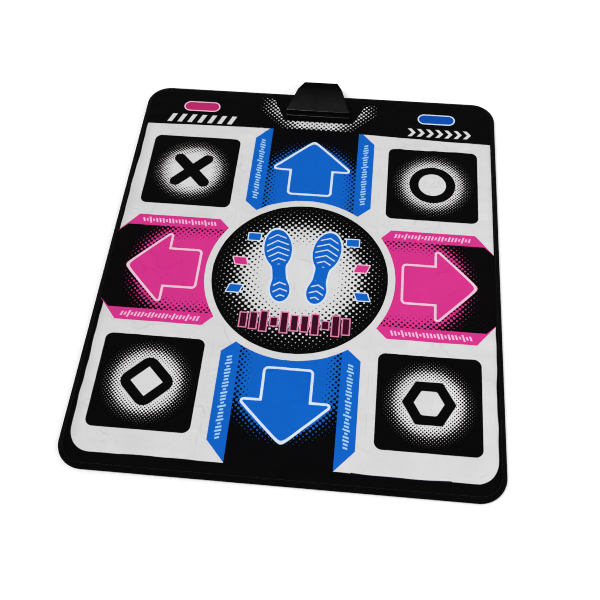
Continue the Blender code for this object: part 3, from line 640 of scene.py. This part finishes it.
def thread_material():
    made, shader = new_material("sewing thread", roughness=0.7, specular=0.3)
    point = object_point()
    shade = ramp(noise_value(point, 1800.0, 2.0), 0.3, 0.7, 0.006, 0.014)
    normal = bump(noise_value(point, 2500.0, 1.0), 0.5, 0.0001)
    fill(shader, {"Base Color": vec(shade, shade, shade), "Normal": normal})
    return made


def moulded(name, colour, roughness, grain, metallic=0.0):
    """Moulded plastic, or another rigid material with a fine grain."""
    made, shader = new_material(name, roughness, metallic=metallic)
    point = object_point()
    cloud = noise_value(point, 35.0, 4.0)
    fine = noise_value(point, 1600.0, 3.0)
    shade = ramp(cloud, 0.3, 0.7, 0.88, 1.12)
    shades = vec(*[shade * c for c in colour])
    gloss = ramp(cloud, 0.3, 0.7, roughness - 0.05, roughness + 0.06)
    fill(shader, {"Base Color": shades, "Roughness": gloss, "Normal": bump(fine, grain, 0.00018)})
    return made


def edge_mask(radius):
    """1 along a hard edge, where handling has worn the grain off and where the shell gets a painted
    highlight.
    """
    soft = add_node("Bevel", samples=4)
    plug(soft.inputs["Radius"], radius)
    dot = add_node("VectorMath", operation="DOT_PRODUCT")
    wired(dot, soft.outputs[0], add_node("NewGeometry").outputs["True Normal"])
    return ramp(Value(dot.outputs["Value"]), 0.99, 0.80)


def shell_material():
    """Black moulded plastic: a fine spark-eroded grain, rubbed shiny along its edges, with a painted
    highlight that makes its front edges paler, and painted light and shade that make it brighter at the
    front, darker towards the rear and darker on its front faces.
    """
    made, shader = new_material("moulded black plastic")
    point = object_point()
    x, y, z = split(point)
    cloud = noise_value(point, 35.0, 4.0)
    fine = noise_value(point, 1500.0, 3.0)
    lip = ramp(y, 0.3980, 0.3965) * ramp(z, 0.0290, 0.0310)
    outer = high(ramp(z, 0.0400, 0.0412), lip, ramp(y, 0.404, 0.412))
    # painted highlight: the edges, most of all the front ones, are paler, brightest at the front left; the
    # worn edges are also glossier
    wear_and_painted_light = edge_mask(0.0010) * outer * ramp(noise_value(point, 240.0, 3.0), 0.3, 0.6, 0.8, 1.0)
    painted_highlight = ramp(y, 0.410, 0.402, 0.018, 1.0) * ramp(x, -0.075, 0.075, 0.42, 0.16)
    # painted light and shade: brighter towards the front and darker towards the rear, and painted shade
    # darkens the front faces below y 0.4006
    plain = ramp(cloud, 0.3, 0.7, 0.0052, 0.0078) * ramp(y, 0.480, 0.404, 0.45, 1.75)
    plain = plain * ramp(y, 0.4006, 0.4018, 0.30, 1.0)
    shade = mix_value(wear_and_painted_light, plain, painted_highlight)
    gloss = mix_value(wear_and_painted_light, ramp(cloud, 0.3, 0.7, 0.50, 0.58), 0.30)
    fill(shader, {"Specular IOR Level": ramp(y, 0.474, 0.430, 0.0, 0.011), "Roughness": gloss})
    fill(shader, {"Base Color": vec(shade, shade, shade * 1.05), "Normal": bump(fine, 0.35, 0.00018)})
    return made


def foam_material(name, colour):
    made, shader = new_material(name, 0.95, 0.1)
    bubbles = add_node("TexVoronoi")
    fill(bubbles, {"Vector": object_point(), "Scale": 900.0})
    depth = Value(bubbles.outputs["Distance"])
    # painted shade: the colour is darker in the bubbles' pits, where the bump is lowest
    shade = ramp(depth, 0.0, 0.6, 0.82, 1.05)
    fill(shader, {"Base Color": vec(*[shade * c for c in colour]), "Normal": bump(depth, 0.6, 0.0005)})
    return made


cover_mat = printed_cover()
tape_mat = tape_material()
base_mat = base_material()
thread_mat = thread_material()

# The mat's surfaces as one grid
RAMP_STEPS = (0.0, 0.003, 0.006, 0.009, 0.012)
SMALL_RAMP = (0.0, 0.002, 0.004, 0.006, 0.008)


def ramp_of(pad):
    return SMALL_RAMP if "small" in pad[0] else RAMP_STEPS


def grid_lines(axis):
    """The grid's lines along one axis: all the needed places, and others between them."""
    end = (X_END, Y_END)[axis]
    need = {-end, end, BORDER_W - end, end - BORDER_W}
    for pad in PADS:
        for step in ramp_of(pad):
            need.add(pad[2][axis] - pad[3][axis] + step)
            need.add(pad[2][axis] + pad[3][axis] - step)
    if axis == 0:
        need |= {GAP_END, -GAP_END}
        for k in range(FOLD_CELLS + 1):
            x = CUT_X + (BLEND_END - CUT_X) * k / FOLD_CELLS
            need |= {x, -x}
    else:
        need.add(BOX_FRONT)
    filled = [-end]
    for value in sorted(need):
        start = filled[-1]
        if value - start > 1e-6:
            count = math.ceil((value - start) / GRID_CELL - 1e-6)
            filled += [start + (value - start) * (k + 1) / count for k in range(count)]
    return np.array(filled)


X_END, Y_END = HALF_W - ROLL_W, HALF_L - ROLL_W
GAP_END = flank(Y_END) + BOX_GAP
XS, YS = grid_lines(0), grid_lines(1)
ARC = CORNER_R - ROLL_W


def warp(x, y):
    """Bends the grid's square corners into the mat's round ones."""
    sx, sy = math.copysign(1, x), math.copysign(1, y)
    s, t = (abs(x) - (X_END - ARC)) / ARC, (abs(y) - (Y_END - ARC)) / ARC
    if s <= 0 or t <= 0:
        return x, y
    return (
        sx * (X_END - ARC + ARC * s * math.sqrt(1 - t * t / 2)),
        sy * (Y_END - ARC + ARC * t * math.sqrt(1 - s * s / 2)),
    )


def swell(x, y, seed):
    return noise.noise(Vector((x, y, seed)))


def rumple(x, y):
    """How far the cover's surface stands above the flat, in metres."""
    h = 0.0006 * swell(x * 7, y * 7, 1.3)
    h += 0.0005 * swell(x * 19, y * 19, 4.1)
    # long soft creases in patches, most of them near the folds
    near_fold = math.exp(-(((abs(x) - FOLD_X) / CREASE_REACH) ** 2))
    patch = swell(x * 5, y * 5, 21.0) + 0.2 + 0.35 * near_fold
    for scale, seed, tall in CREASES:
        c = 1.0 - abs(swell(x * scale, y * scale, seed)) / 0.10
        if c > 0 and patch > 0:
            h += tall * min(1.0, patch * 1.6) * c * c * (3 - 2 * c)
    # ripples across the side borders
    ripple = math.sin(y / RIPPLE_LENGTH + 5.0 * swell(y * 6, x, 9.0))
    gather = 0.5 + swell(math.copysign(2.0, x), y * 4, 3.3)
    border = math.exp(-(((X_END - abs(x)) / BORDER_W) ** 2))
    h += RIPPLE_HEIGHT * ripple * max(0.0, gather) * border
    for sx in (-1, 1):
        off = (x - sx * FOLD_X) / FOLD_GROOVE_W
        depth = 0.55 + 0.45 * swell(sx * 3.0, y * 6, 7.7)
        h -= FOLD_GROOVE_DEPTH * depth * math.exp(-off * off)
    # flat round the control box
    away = max(abs(x) - BOX_ZONE, FLAT_START - y) / FLAT_FADE
    return h * min(1.0, max(0.0, away)) - COVER_SINK


def back_shift(x, y):
    """At the control box the rolled edge ends along the box's flank."""
    if y < Y_END - 0.001 or abs(x) > BOX_ZONE:
        return x
    t = (BOX_ZONE - abs(x)) / (BOX_ZONE - GAP_END)
    return math.copysign(abs(x) + (flank(y) - flank(Y_END)) * min(1.0, t), x)


def outside_box(corners, gap):
    """Cuts a grid cell along the control box's flank, at the distance gap from it."""
    off = [abs(x) - flank(y) - gap for x, y in corners]
    kept = []
    for k, here in enumerate(off):
        there = off[k - 1]
        (px, py), (qx, qy) = corners[k], corners[k - 1]
        if (here > 0) != (there > 0):
            t = there / (there - here)
            kept.append((qx + (px - qx) * t, qy + (py - qy) * t))
        if here > 0:
            kept.append((px, py))
    return kept


def add_object(name, data):
    made = bpy.data.objects.new(name, data)
    scene.collection.objects.link(made)
    return made


class Surface:
    """A mesh that is made whole, so that its normals are, and then cut into named pieces."""

    def __init__(self):
        self.co, self.faces, self.tags, self.uv = [], [], [], []
        self.index = {}

    def vert(self, co, uv):
        key = tuple(round(c * 2e6) for c in co) + tuple(round(c * 1e5) for c in uv)
        if key not in self.index:
            self.index[key] = len(self.co)
            self.co.append(tuple(co))
            self.uv.append(tuple(uv))
        return self.index[key]

    def face(self, verts, tag):
        verts = [v for i, v in enumerate(verts) if v != verts[i - 1]]
        if len(verts) > 2:
            self.faces.append(verts)
            self.tags.append(tag)

    def band(self, section, columns, vertex, tag):
        """Joins two columns of vertices along a section by faces."""
        rows = [[vertex(column, r, *place) for r, place in enumerate(section)] for column in columns]
        for r in range(len(section) - 1):
            self.face((rows[0][r], rows[0][r + 1], rows[1][r + 1], rows[1][r]), tag)

    def finish(self):
        mesh = bpy.data.meshes.new("whole")
        mesh.from_pydata(self.co, [], self.faces)
        mesh.update()
        normals = np.zeros(len(self.co) * 3, np.float32)
        mesh.vertex_normals.foreach_get("vector", normals)
        self.normals = normals.reshape(-1, 3)
        bpy.data.meshes.remove(mesh)
        return self

    def piece(self, name, tag, uv_name, material):
        """The faces of one tag, with the whole surface's normals, so that no seam shows."""
        faces = [face for face, own in zip(self.faces, self.tags) if own == tag]
        used = sorted({v for face in faces for v in face})
        at = {v: i for i, v in enumerate(used)}
        mesh = bpy.data.meshes.new(name)
        mesh.from_pydata([self.co[v] for v in used], [], [[at[v] for v in face] for face in faces])
        loops = np.zeros(len(mesh.loops), np.int32)
        mesh.loops.foreach_get("vertex_index", loops)
        uv = np.array([self.uv[v] for v in used], np.float32)
        mesh.uv_layers.new(name=uv_name).data.foreach_set("uv", uv[loops].ravel())
        mesh.shade_smooth()
        mesh.normals_split_custom_set_from_vertices(self.normals[used].tolist())
        mesh.materials.append(material)
        return add_object(name, mesh)


def arc(centre, radii, first, last, count):
    out = []
    for k in range(count + 1):
        a = math.radians(first + (last - first) * k / count)
        out.append((centre[0] - radii[0] * math.cos(a), centre[1] + radii[1] * math.sin(a)))
    return out


SEAM_ANGLE = math.degrees(math.acos((ROLL_W - TAPE_W) / ROLL_W))


def ring_columns():
    """The edge anticlockwise: the grid's point, its place, the outward normal and the distance along."""
    n, m = len(XS) - 1, len(YS) - 1
    loop = [(i, 0) for i in range(n)] + [(n, j) for j in range(m)]
    loop += [(i, m) for i in range(n, 0, -1)] + [(0, j) for j in range(m, -1, -1)]
    columns, along, last = [], 0.0, None
    for i, j in loop:
        px, py = warp(XS[i], YS[j])
        cx = max(ARC - X_END, min(X_END - ARC, px))
        cy = max(ARC - Y_END, min(Y_END - ARC, py))
        nx, ny = Vector((px - cx, py - cy)).normalized()
        middle = Vector((px + nx * EDGE_MIDDLE, py + ny * EDGE_MIDDLE))
        if last is not None:
            along += (middle - last).length
        last = middle
        columns.append(((XS[i], YS[j]), (px, py), (nx, ny), along))
    return columns


COLUMNS = ring_columns()


def ring_point(column, inset, height):
    (_, (px, py), (nx, ny), _) = column
    d = ROLL_W - inset
    x, y = px + nx * d, py + ny * d
    return back_shift(x, y), y, height


def in_box_gap(column):
    """True for a column of the back edge that the control box replaces."""
    (x, y), _, (nx, ny), _ = column
    return ny > 0.99 and abs(x) < GAP_END - 0.0001


def cells():
    """The grid's cells, each as the places of its left, right, front and back."""
    for i in range(len(XS) - 1):
        for j in range(len(YS) - 1):
            yield XS[i], XS[i + 1], YS[j], YS[j + 1]


def edge_steps():
    """Neighbouring columns round the edge, but for the box's gap, with the grid's point between them."""
    for first, second in zip(COLUMNS, COLUMNS[1:]):
        if not (in_box_gap(first) or in_box_gap(second)):
            (x0, y0), (x1, y1) = first[0], second[0]
            yield (first, second), (x0 + x1) / 2, (y0 + y1) / 2


def side_of(x):
    return -1 if x < -CUT_X else (1 if x > CUT_X else 0)


def carry(piece, side):
    """Ties a middle piece to the middle panel; a side piece only has its transform applied to its mesh."""
    if side == 0:
        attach(piece, "middle_panel")
    else:
        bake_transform(piece)


def roll_height(inset):
    """The rolled edge's height at a distance in from its outermost line."""
    return ROLL_MID + ROLL_H * math.sin(math.acos((ROLL_W - inset) / ROLL_W))


def tape_rise(inset):
    """How far the tape stands off the roll, more towards its seam."""
    return TAPE_RISE * max(0.0, (inset - 0.004) / 0.012)


def pucker(along, seed):
    """A small wave along a seam, as the stitches gather the cloth."""
    return swell(along * 75, seed, 0.0) * 0.7 + swell(along * 22, seed, 5.0) * 0.5


def pad_tag(x, y):
    """The pad and strip that a point belongs to, or None."""
    for pad in PADS:
        (cx, cy), (hx, hy) = pad[2], pad[3]
        if abs(x - cx) < hx and abs(y - cy) < hy:
            depth = ramp_of(pad)[-1]
            sides = {"l": x - cx + hx, "r": cx + hx - x, "f": y - cy + hy, "b": cy + hy - y}
            strip = min(sides, key=sides.get)
            return pad[0], strip if sides[strip] < depth else "centre"
    return None


def split_corner(x0, x1, y0, y1):
    """For a grid cell on a pad's mitre, which of its diagonals the mitre follows; else None."""
    for pad in PADS:
        (cx, cy), (hx, hy) = pad[2], pad[3]
        depth = ramp_of(pad)[-1] + 1e-6
        for sx in (-1, 1):
            for sy in (-1, 1):
                ax, ay = cx + sx * hx, cy + sy * hy
                mx, my = (x0 + x1) / 2, (y0 + y1) / 2
                dx, dy = (ax - mx) * sx, (ay - my) * sy
                if 0 < dx < depth and 0 < dy < depth:
                    if abs(dx - dy) < (x1 - x0 + y1 - y0) / 2:
                        return "up" if sx == sy else "down"
    return None


def build_cover():
    skin = Surface()

    def top(x, y):
        px, py = warp(x, y)
        return skin.vert((px, py, TOP + rumple(px, py)), (px, py))

    for x0, x1, y0, y1 in cells():
        mx, my = (x0 + x1) / 2, (y0 + y1) / 2
        corners = ((x0, y0), (x1, y0), (x1, y1), (x0, y1))
        if y0 > BOX_FRONT + 0.002 and abs(mx) < BOX_HALF[0]:
            skin.face([top(x, y) for x, y in outside_box(corners, -BOX_LAP)], 0)
            continue
        a, b, c, d = (top(x, y) for x, y in corners)
        way = split_corner(x0, x1, y0, y1)
        if way is None:
            skin.face((a, b, c, d), pad_tag(mx, my) or side_of(mx))
            continue
        if way == "up":
            halves = (((a, b, c), 1, -1), ((a, c, d), -1, 1))
        else:
            halves = (((a, b, d), -1, -1), ((b, c, d), 1, 1))
        for face, sx, sy in halves:
            tag = pad_tag(mx + sx * (x1 - x0) / 6, my + sy * (y1 - y0) / 6)
            skin.face(face, tag or side_of(mx))

    # the rolled edge, down to below the tape
    section = arc((ROLL_W, ROLL_MID), (ROLL_W, ROLL_H), 90, SEAM_ANGLE + 1, 4)
    section += [(TAPE_W - 0.0008, section[-1][1] - 0.0006), (TAPE_W - 0.004, section[-1][1] - 0.0022)]

    def rolled(column, r, inset, height):
        x, y, z = ring_point(column, inset, height)
        lift = rumple(*column[1]) * (1 - r / (len(section) - 1))
        lift += pucker(column[3], 2.0) * COVER_PUCKER * min(1.0, r / 3) ** 2
        return skin.vert((x, y, z + lift), (x, y))

    for columns, x, _ in edge_steps():
        skin.band(section, columns, rolled, side_of(x))
    return skin.finish()


def cloth_sheet(obj, held):
    """Works out a sheet's flat size and area from its rest map, and does nothing with them."""
    layer = obj.data.uv_layers[0].data
    uv = np.zeros(len(layer) * 2, np.float32)
    layer.foreach_get("uv", uv)
    uv = uv.reshape(-1, 2)
    area = 0.0
    for p in obj.data.polygons:
        x, y = uv[p.loop_start : p.loop_start + p.loop_total].T
        area += abs(float(np.sum(x * np.roll(y, -1) - np.roll(x, -1) * y))) / 2
    width, long = (float(c) for c in uv.max(axis=0) - uv.min(axis=0))
    if held == "folded":
        # a tape is a plain strip as wide as its section is long
        flat = (round(long, 4), round(area / long, 4))
        return
    flat = (round(width, 4), round(long, 4))
    area = round(min(area, flat[0] * flat[1]), 5)


def join_pieces(main, others):
    bpy.ops.object.select_all(action="DESELECT")
    for obj in [main, *others]:
        obj.select_set(True)
    bpy.context.view_layer.objects.active = main
    bpy.ops.object.join()
    return main


skin = build_cover()
for side, word in SIDE_NAMES.items():
    piece = skin.piece(f"cover_{word}", side, "rest", cover_mat)
    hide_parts(f"top_sheet_{word}")
    cloth_sheet(piece, "laid")
    carry(piece, side)

PRINT_SLOTS = dict.fromkeys(("arrow_left", "arrow_right", "small_left"), "pink_print")
PRINT_SLOTS |= dict.fromkeys(("arrow_back", "arrow_front", "small_right"), "blue_print")

for pad in PADS:
    name, side, (cx, cy), (hx, hy) = pad
    depth = ramp_of(pad)[-1]
    # the centre and the four strips of a pad; the start and end given for each are not used
    ways = {
        "centre": ((cx, cy, TOP + 1.0), (cx, cy, TOP + 0.9)),
        "l": ((cx - hx, cy, TOP), (cx - hx + depth, cy, TOP)),
        "r": ((cx + hx, cy, TOP), (cx + hx - depth, cy, TOP)),
        "f": ((cx, cy - hy, TOP), (cx, cy - hy + depth, TOP)),
        "b": ((cx, cy + hy, TOP), (cx, cy + hy - depth, TOP)),
    }
    strips = []
    for way, (start, end) in ways.items():
        strip = skin.piece(f"pad_cloth_{name}_{way}", (name, way), "rest", cover_mat)
        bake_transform(strip)
        strips.append(strip)
    cloth = join_pieces(strips[0], strips[1:])
    cloth.name = f"pad_cloth_{name}"
    cloth_sheet(cloth, "laid")
    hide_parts(f"pad_{name}")


# The binding tape
TAPE_RUNS = {"left": -1, "right": 1, "front": 0, "back_left": 0, "back_right": 0}


def tape_run(x, y):
    """The run of tape that a place on the edge belongs to."""
    if side_of(x):
        return SIDE_NAMES[side_of(x)]
    return "front" if y < 0 else ("back_left" if x < 0 else "back_right")


def build_tape():
    tape = Surface()
    seam_z = roll_height(TAPE_W)
    upper = arc((ROLL_W, ROLL_MID), (ROLL_W, ROLL_H), SEAM_ANGLE, 0, 12)
    lower = arc((UNDER_W, ROLL_MID), (UNDER_W, ROLL_MID), 0, -90, 6)[1:]
    section = [(TAPE_W + 0.0002, seam_z - 0.0008), (TAPE_W + 0.0003, seam_z + 0.0001)]
    section += [(TAPE_W - 0.0001, seam_z + 0.0005)]
    section += [(inset, z + tape_rise(inset)) for inset, z in upper[1:]]
    section += lower + [(0.009, 0.0), (0.013, 0.0), (TAPE_W - 0.0004, 0.0), (TAPE_W, 0.0004), (TAPE_W, 0.001)]
    along_section, total = [0.0], 0.0
    for p, q in zip(section, section[1:]):
        total += math.dist(p, q)
        along_section.append(total)

    def sewn(column, r, inset, height):
        """A point of the tape, drawn down along the stitches and puckered near the seam."""
        s = along_section[r]
        x, y, z = ring_point(column, inset, height)
        z -= SEAM_DEPTH * math.exp(-(((s - SEAM_PLACE) / SEAM_SPREAD) ** 2))
        if s < PUCKER_END:
            z += PUCKER_HEIGHT * pucker(column[3], TAPE_SEED) * math.exp(-((s / PUCKER_REACH) ** 2))
        return tape.vert((x, y, z), (column[3], s))

    for columns, x, y in edge_steps():
        tape.band(section, columns, sewn, tape_run(x, y))
    return tape.finish()


tape = build_tape()
for word, side in TAPE_RUNS.items():
    piece = tape.piece(f"tape_{word}", word, "strip", tape_mat)
    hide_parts(f"binding_{word}")
    cloth_sheet(piece, "folded")
    carry(piece, side)


# Stitches along the tape
STITCH_RINGS = ((0.0, *THREAD_END), (0.22, *THREAD_BODY), (0.78, *THREAD_BODY), (1.0, *THREAD_END))
ALONGS = np.array([column[3] for column in COLUMNS])


def seam_point(at):
    """The seam's point at a distance along the edge, and the columns beside it."""
    k = min(len(COLUMNS) - 2, max(0, int(np.searchsorted(ALONGS, at)) - 1))
    first, second = COLUMNS[k], COLUMNS[k + 1]
    t = (at - first[3]) / max(1e-9, second[3] - first[3])
    height = roll_height(STITCH_INSET) + tape_rise(STITCH_INSET) - THREAD_DEPTH
    start, end = (Vector(ring_point(column, STITCH_INSET, height)) for column in (first, second))
    point = start.lerp(end, t)
    point.z += PUCKER_HEIGHT * pucker(at, TAPE_SEED) * SEAM_SHARE
    return point, first, second


def add_stitch(verts, faces, start, end):
    """A short thread, thinner and lower at its ends."""
    run = (end - start).normalized()
    side = Vector((-run.y, run.x, 0)).normalized()
    up = run.cross(side) * -1
    if up.z < 0:
        up = -up
    base = len(verts)
    for t, radius, rise in STITCH_RINGS:
        centre = start.lerp(end, t) + up * rise
        for q in range(THREAD_SIDES):
            a = 2 * math.pi * q / THREAD_SIDES
            verts.append(centre + side * math.cos(a) * radius + up * math.sin(a) * radius)
    for ring in range(len(STITCH_RINGS) - 1):
        for q in range(THREAD_SIDES):
            p0 = base + ring * THREAD_SIDES + q
            p1 = base + ring * THREAD_SIDES + (q + 1) % THREAD_SIDES
            faces.append((p0, p1, p1 + THREAD_SIDES, p0 + THREAD_SIDES))


def build_stitches():
    """The threads along the tape's seam, in five pieces like the tape."""
    made = {}
    count = int(COLUMNS[-1][3] / STITCH_PITCH)
    for n in range(count):
        at = COLUMNS[-1][3] * (n + 0.5) / count
        middle, first, second = seam_point(at)
        if not (in_box_gap(first) or in_box_gap(second)):
            verts, faces = made.setdefault(tape_run(middle.x, middle.y), ([], []))
            add_stitch(verts, faces, seam_point(at - STITCH_HALF)[0], seam_point(at + STITCH_HALF)[0])
    return made


for word, (verts, faces) in build_stitches().items():
    mesh = bpy.data.meshes.new(f"stitches_{word}")
    mesh.from_pydata(verts, [], faces)
    mesh.shade_smooth()
    mesh.materials.append(thread_mat)
    piece = add_object(f"stitches_{word}", mesh)
    carry(piece, TAPE_RUNS[word])


# The underside
def build_base():
    base = Surface()

    def bottom(x, y):
        px, py = warp(x, y)
        h = 0.00018 * swell(px * 16, py * 16, 11.0)
        return base.vert((px, py, BASE_HEIGHT + h), (px, py))

    for x0, x1, y0, y1 in cells():
        corners = ((x0, y0), (x0, y1), (x1, y1), (x1, y0))
        if y0 > BOX_FRONT - 1e-6:
            corners = outside_box(corners, BOX_GAP)
        base.face([bottom(x, y) for x, y in corners], side_of((x0 + x1) / 2))
    for columns, x, _ in edge_steps():
        inner, outer = [], []
        for column in columns:
            inner.append(bottom(*column[0]))
            px, py, pz = ring_point(column, TAPE_W + 0.0003, 0.0004)
            outer.append(base.vert((px, py, pz), (px, py)))
        base.face((*inner, *outer[::-1]), side_of(x))
    return base.finish()


underside = build_base()
for side, word in SIDE_NAMES.items():
    piece = underside.piece(f"base_cloth_{word}", side, "rest", base_mat)
    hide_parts(f"base_sheet_{word}")
    cloth_sheet(piece, "laid")
    carry(piece, side)


# Carried-over nodes: the starts of their names, and their material
LOOKS = (
    (("upper_shell", "lower_shell"), shell_material()),
    (("lower_film", "upper_film", "film_tail"), moulded("printed film", (0.55, 0.58, 0.60), 0.28, 0.1)),
    (("contact_",), moulded("carbon ink", (0.010, 0.010, 0.011), 0.5, 0.4)),
    (("circuit_board",), moulded("board lacquer", (0.010, 0.12, 0.04), 0.4, 0.2)),
    (("encoder_chip",), moulded("chip resin", (0.012, 0.012, 0.012), 0.35, 0.3)),
    (("tail_clamp",), moulded("natural plastic", (0.55, 0.53, 0.47), 0.5, 0.3)),
    (("case_screw",), moulded("plated steel", (0.60, 0.60, 0.61), 0.28, 0.1, metallic=1.0)),
    (("cord_bush",), moulded("soft rubber", (0.010, 0.010, 0.010), 0.7, 0.5)),
)


def dress(obj, material):
    if not obj.material_slots:
        obj.data.materials.append(material)
    for slot in obj.material_slots:
        slot.link = "OBJECT"
        slot.material = material


for node in nodes:
    for starts, material in LOOKS:
        if node.startswith(starts):
            dress(nodes[node], material)

for node in ("upper_shell", "lower_shell"):
    bevel = nodes[node].modifiers.new("moulded edges", "BEVEL")
    bevel.width = SHELL_BEVEL
    bevel.segments = 3
    bevel.limit_method = "ANGLE"
    bevel.angle_limit = math.radians(25)
    bevel.harden_normals = True

for kind, slot, material in (
    ("base_foam", "core_foam", foam_material("grey foam", (0.30, 0.30, 0.31))),
    ("spacer_foam", "spacer_foam", foam_material("white foam", (0.62, 0.62, 0.60))),
):
    for side, word in SIDE_NAMES.items():
        node = f"{kind}_{word}"
        made = add_object(f"{kind}_block_{word}", nodes[node].data.copy())
        made.data.materials.clear()
        made.data.materials.append(material)
        bevel = made.modifiers.new("soft edges", "BEVEL")
        bevel.width = FOAM_BEVEL
        bevel.segments = 2
        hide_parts(node)
        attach(made, PANELS[side])


# Floor, light and camera
def plain_floor():
    global tree
    mesh = bpy.data.meshes.new("floor")
    r, z = FLOOR_HALF, FLOOR_HEIGHT
    mesh.from_pydata([(-r, -r, z), (r, -r, z), (r, r, z), (-r, r, z)], [], [(0, 1, 2, 3)])
    floor = add_object("floor", mesh)
    made = bpy.data.materials.new("pale floor")
    made.use_nodes = True
    tree = made.node_tree
    tree.nodes.clear()
    diffuse, lift = add_node("BsdfDiffuse"), add_node("Emission")
    rays, geometry = add_node("LightPath"), add_node("NewGeometry")
    diffuse.inputs["Color"].default_value = (0.98, 0.98, 0.98, 1)
    plug(lift.inputs["Strength"], Value(rays.outputs["Is Camera Ray"]) * 0.08)
    both = wired(add_node("AddShader"), diffuse.outputs[0], lift.outputs[0])
    # light that reaches the part from below comes from the world, so its underside isn't dark
    gone = high(Value(geometry.outputs["Backfacing"]), Value(rays.outputs["Is Diffuse Ray"]))
    clear = add_node("BsdfTransparent").outputs[0]
    surface = wired(add_node("MixShader"), gone, both, clear)
    plug(add_node("OutputMaterial").inputs["Surface"], surface)
    mesh.materials.append(made)


def lamp(name, kind, energy, place, target):
    """A lamp at a place, turned to a target. It returns the lamp's data."""
    data = bpy.data.lights.new(name, kind)
    data.energy = energy
    made = add_object(name, data)
    made.location = place
    made.rotation_euler = (Vector(target) - Vector(place)).to_track_quat("-Z", "Y").to_euler()
    return data


def set_world():
    global tree
    world = bpy.data.worlds.new("studio")
    scene.world = world
    world.use_nodes = True
    tree = world.node_tree
    background = tree.nodes["Background"]
    background.inputs["Color"].default_value = (1, 1, 1, 1)
    rays = add_node("LightPath")
    coords = add_node("TexCoord")
    height = split(coords.outputs["Generated"])[2]
    below = ramp(height, -0.05, 0.0, 0.9, 0.36)
    seen = high(*[Value(rays.outputs[f"Is {kind} Ray"]) for kind in ("Camera", "Glossy", "Transmission")])
    plug(background.inputs["Strength"], mix_value(seen, below, 1.0))


plain_floor()
set_world()
lamp("key", "SUN", 1.86, (-0.9, -0.8, 2.6), (0, 0, 0)).angle = math.radians(34)
lamp("side", "AREA", 14.5, (1.6, -0.9, 1.9), (0.2, -0.1, 0)).size = 1.6

# Where the photograph was taken from. The focal length is in pixels of the 600 pixel wide frame.
CAMERA_PLACE = Vector((0.1120, -0.9623, 1.4276))
CAMERA_AIM = Vector((0.0050, -0.0863, 0.0))
CAMERA_ROLL = math.radians(-1.7625)
FOCAL_PIXELS, PHOTO_PIXELS = 821.9, 600

camera_data = bpy.data.cameras.new("camera")
camera_data.sensor_width = 36.0
camera_data.lens = camera_data.sensor_width * FOCAL_PIXELS / PHOTO_PIXELS
camera_data.clip_start, camera_data.clip_end = 0.05, 50.0
camera = add_object("camera", camera_data)
turn = (CAMERA_AIM - CAMERA_PLACE).to_track_quat("-Z", "Y").to_matrix().to_4x4()
turn = turn @ Matrix.Rotation(CAMERA_ROLL, 4, "Z")
camera.matrix_world = Matrix.Translation(CAMERA_PLACE) @ turn
scene.camera = camera

scene.view_settings.view_transform = "Standard"
# a narrow pixel filter, so that the printed dots, about two pixels apart, aren't blurred
scene.cycles.filter_width = 1.0
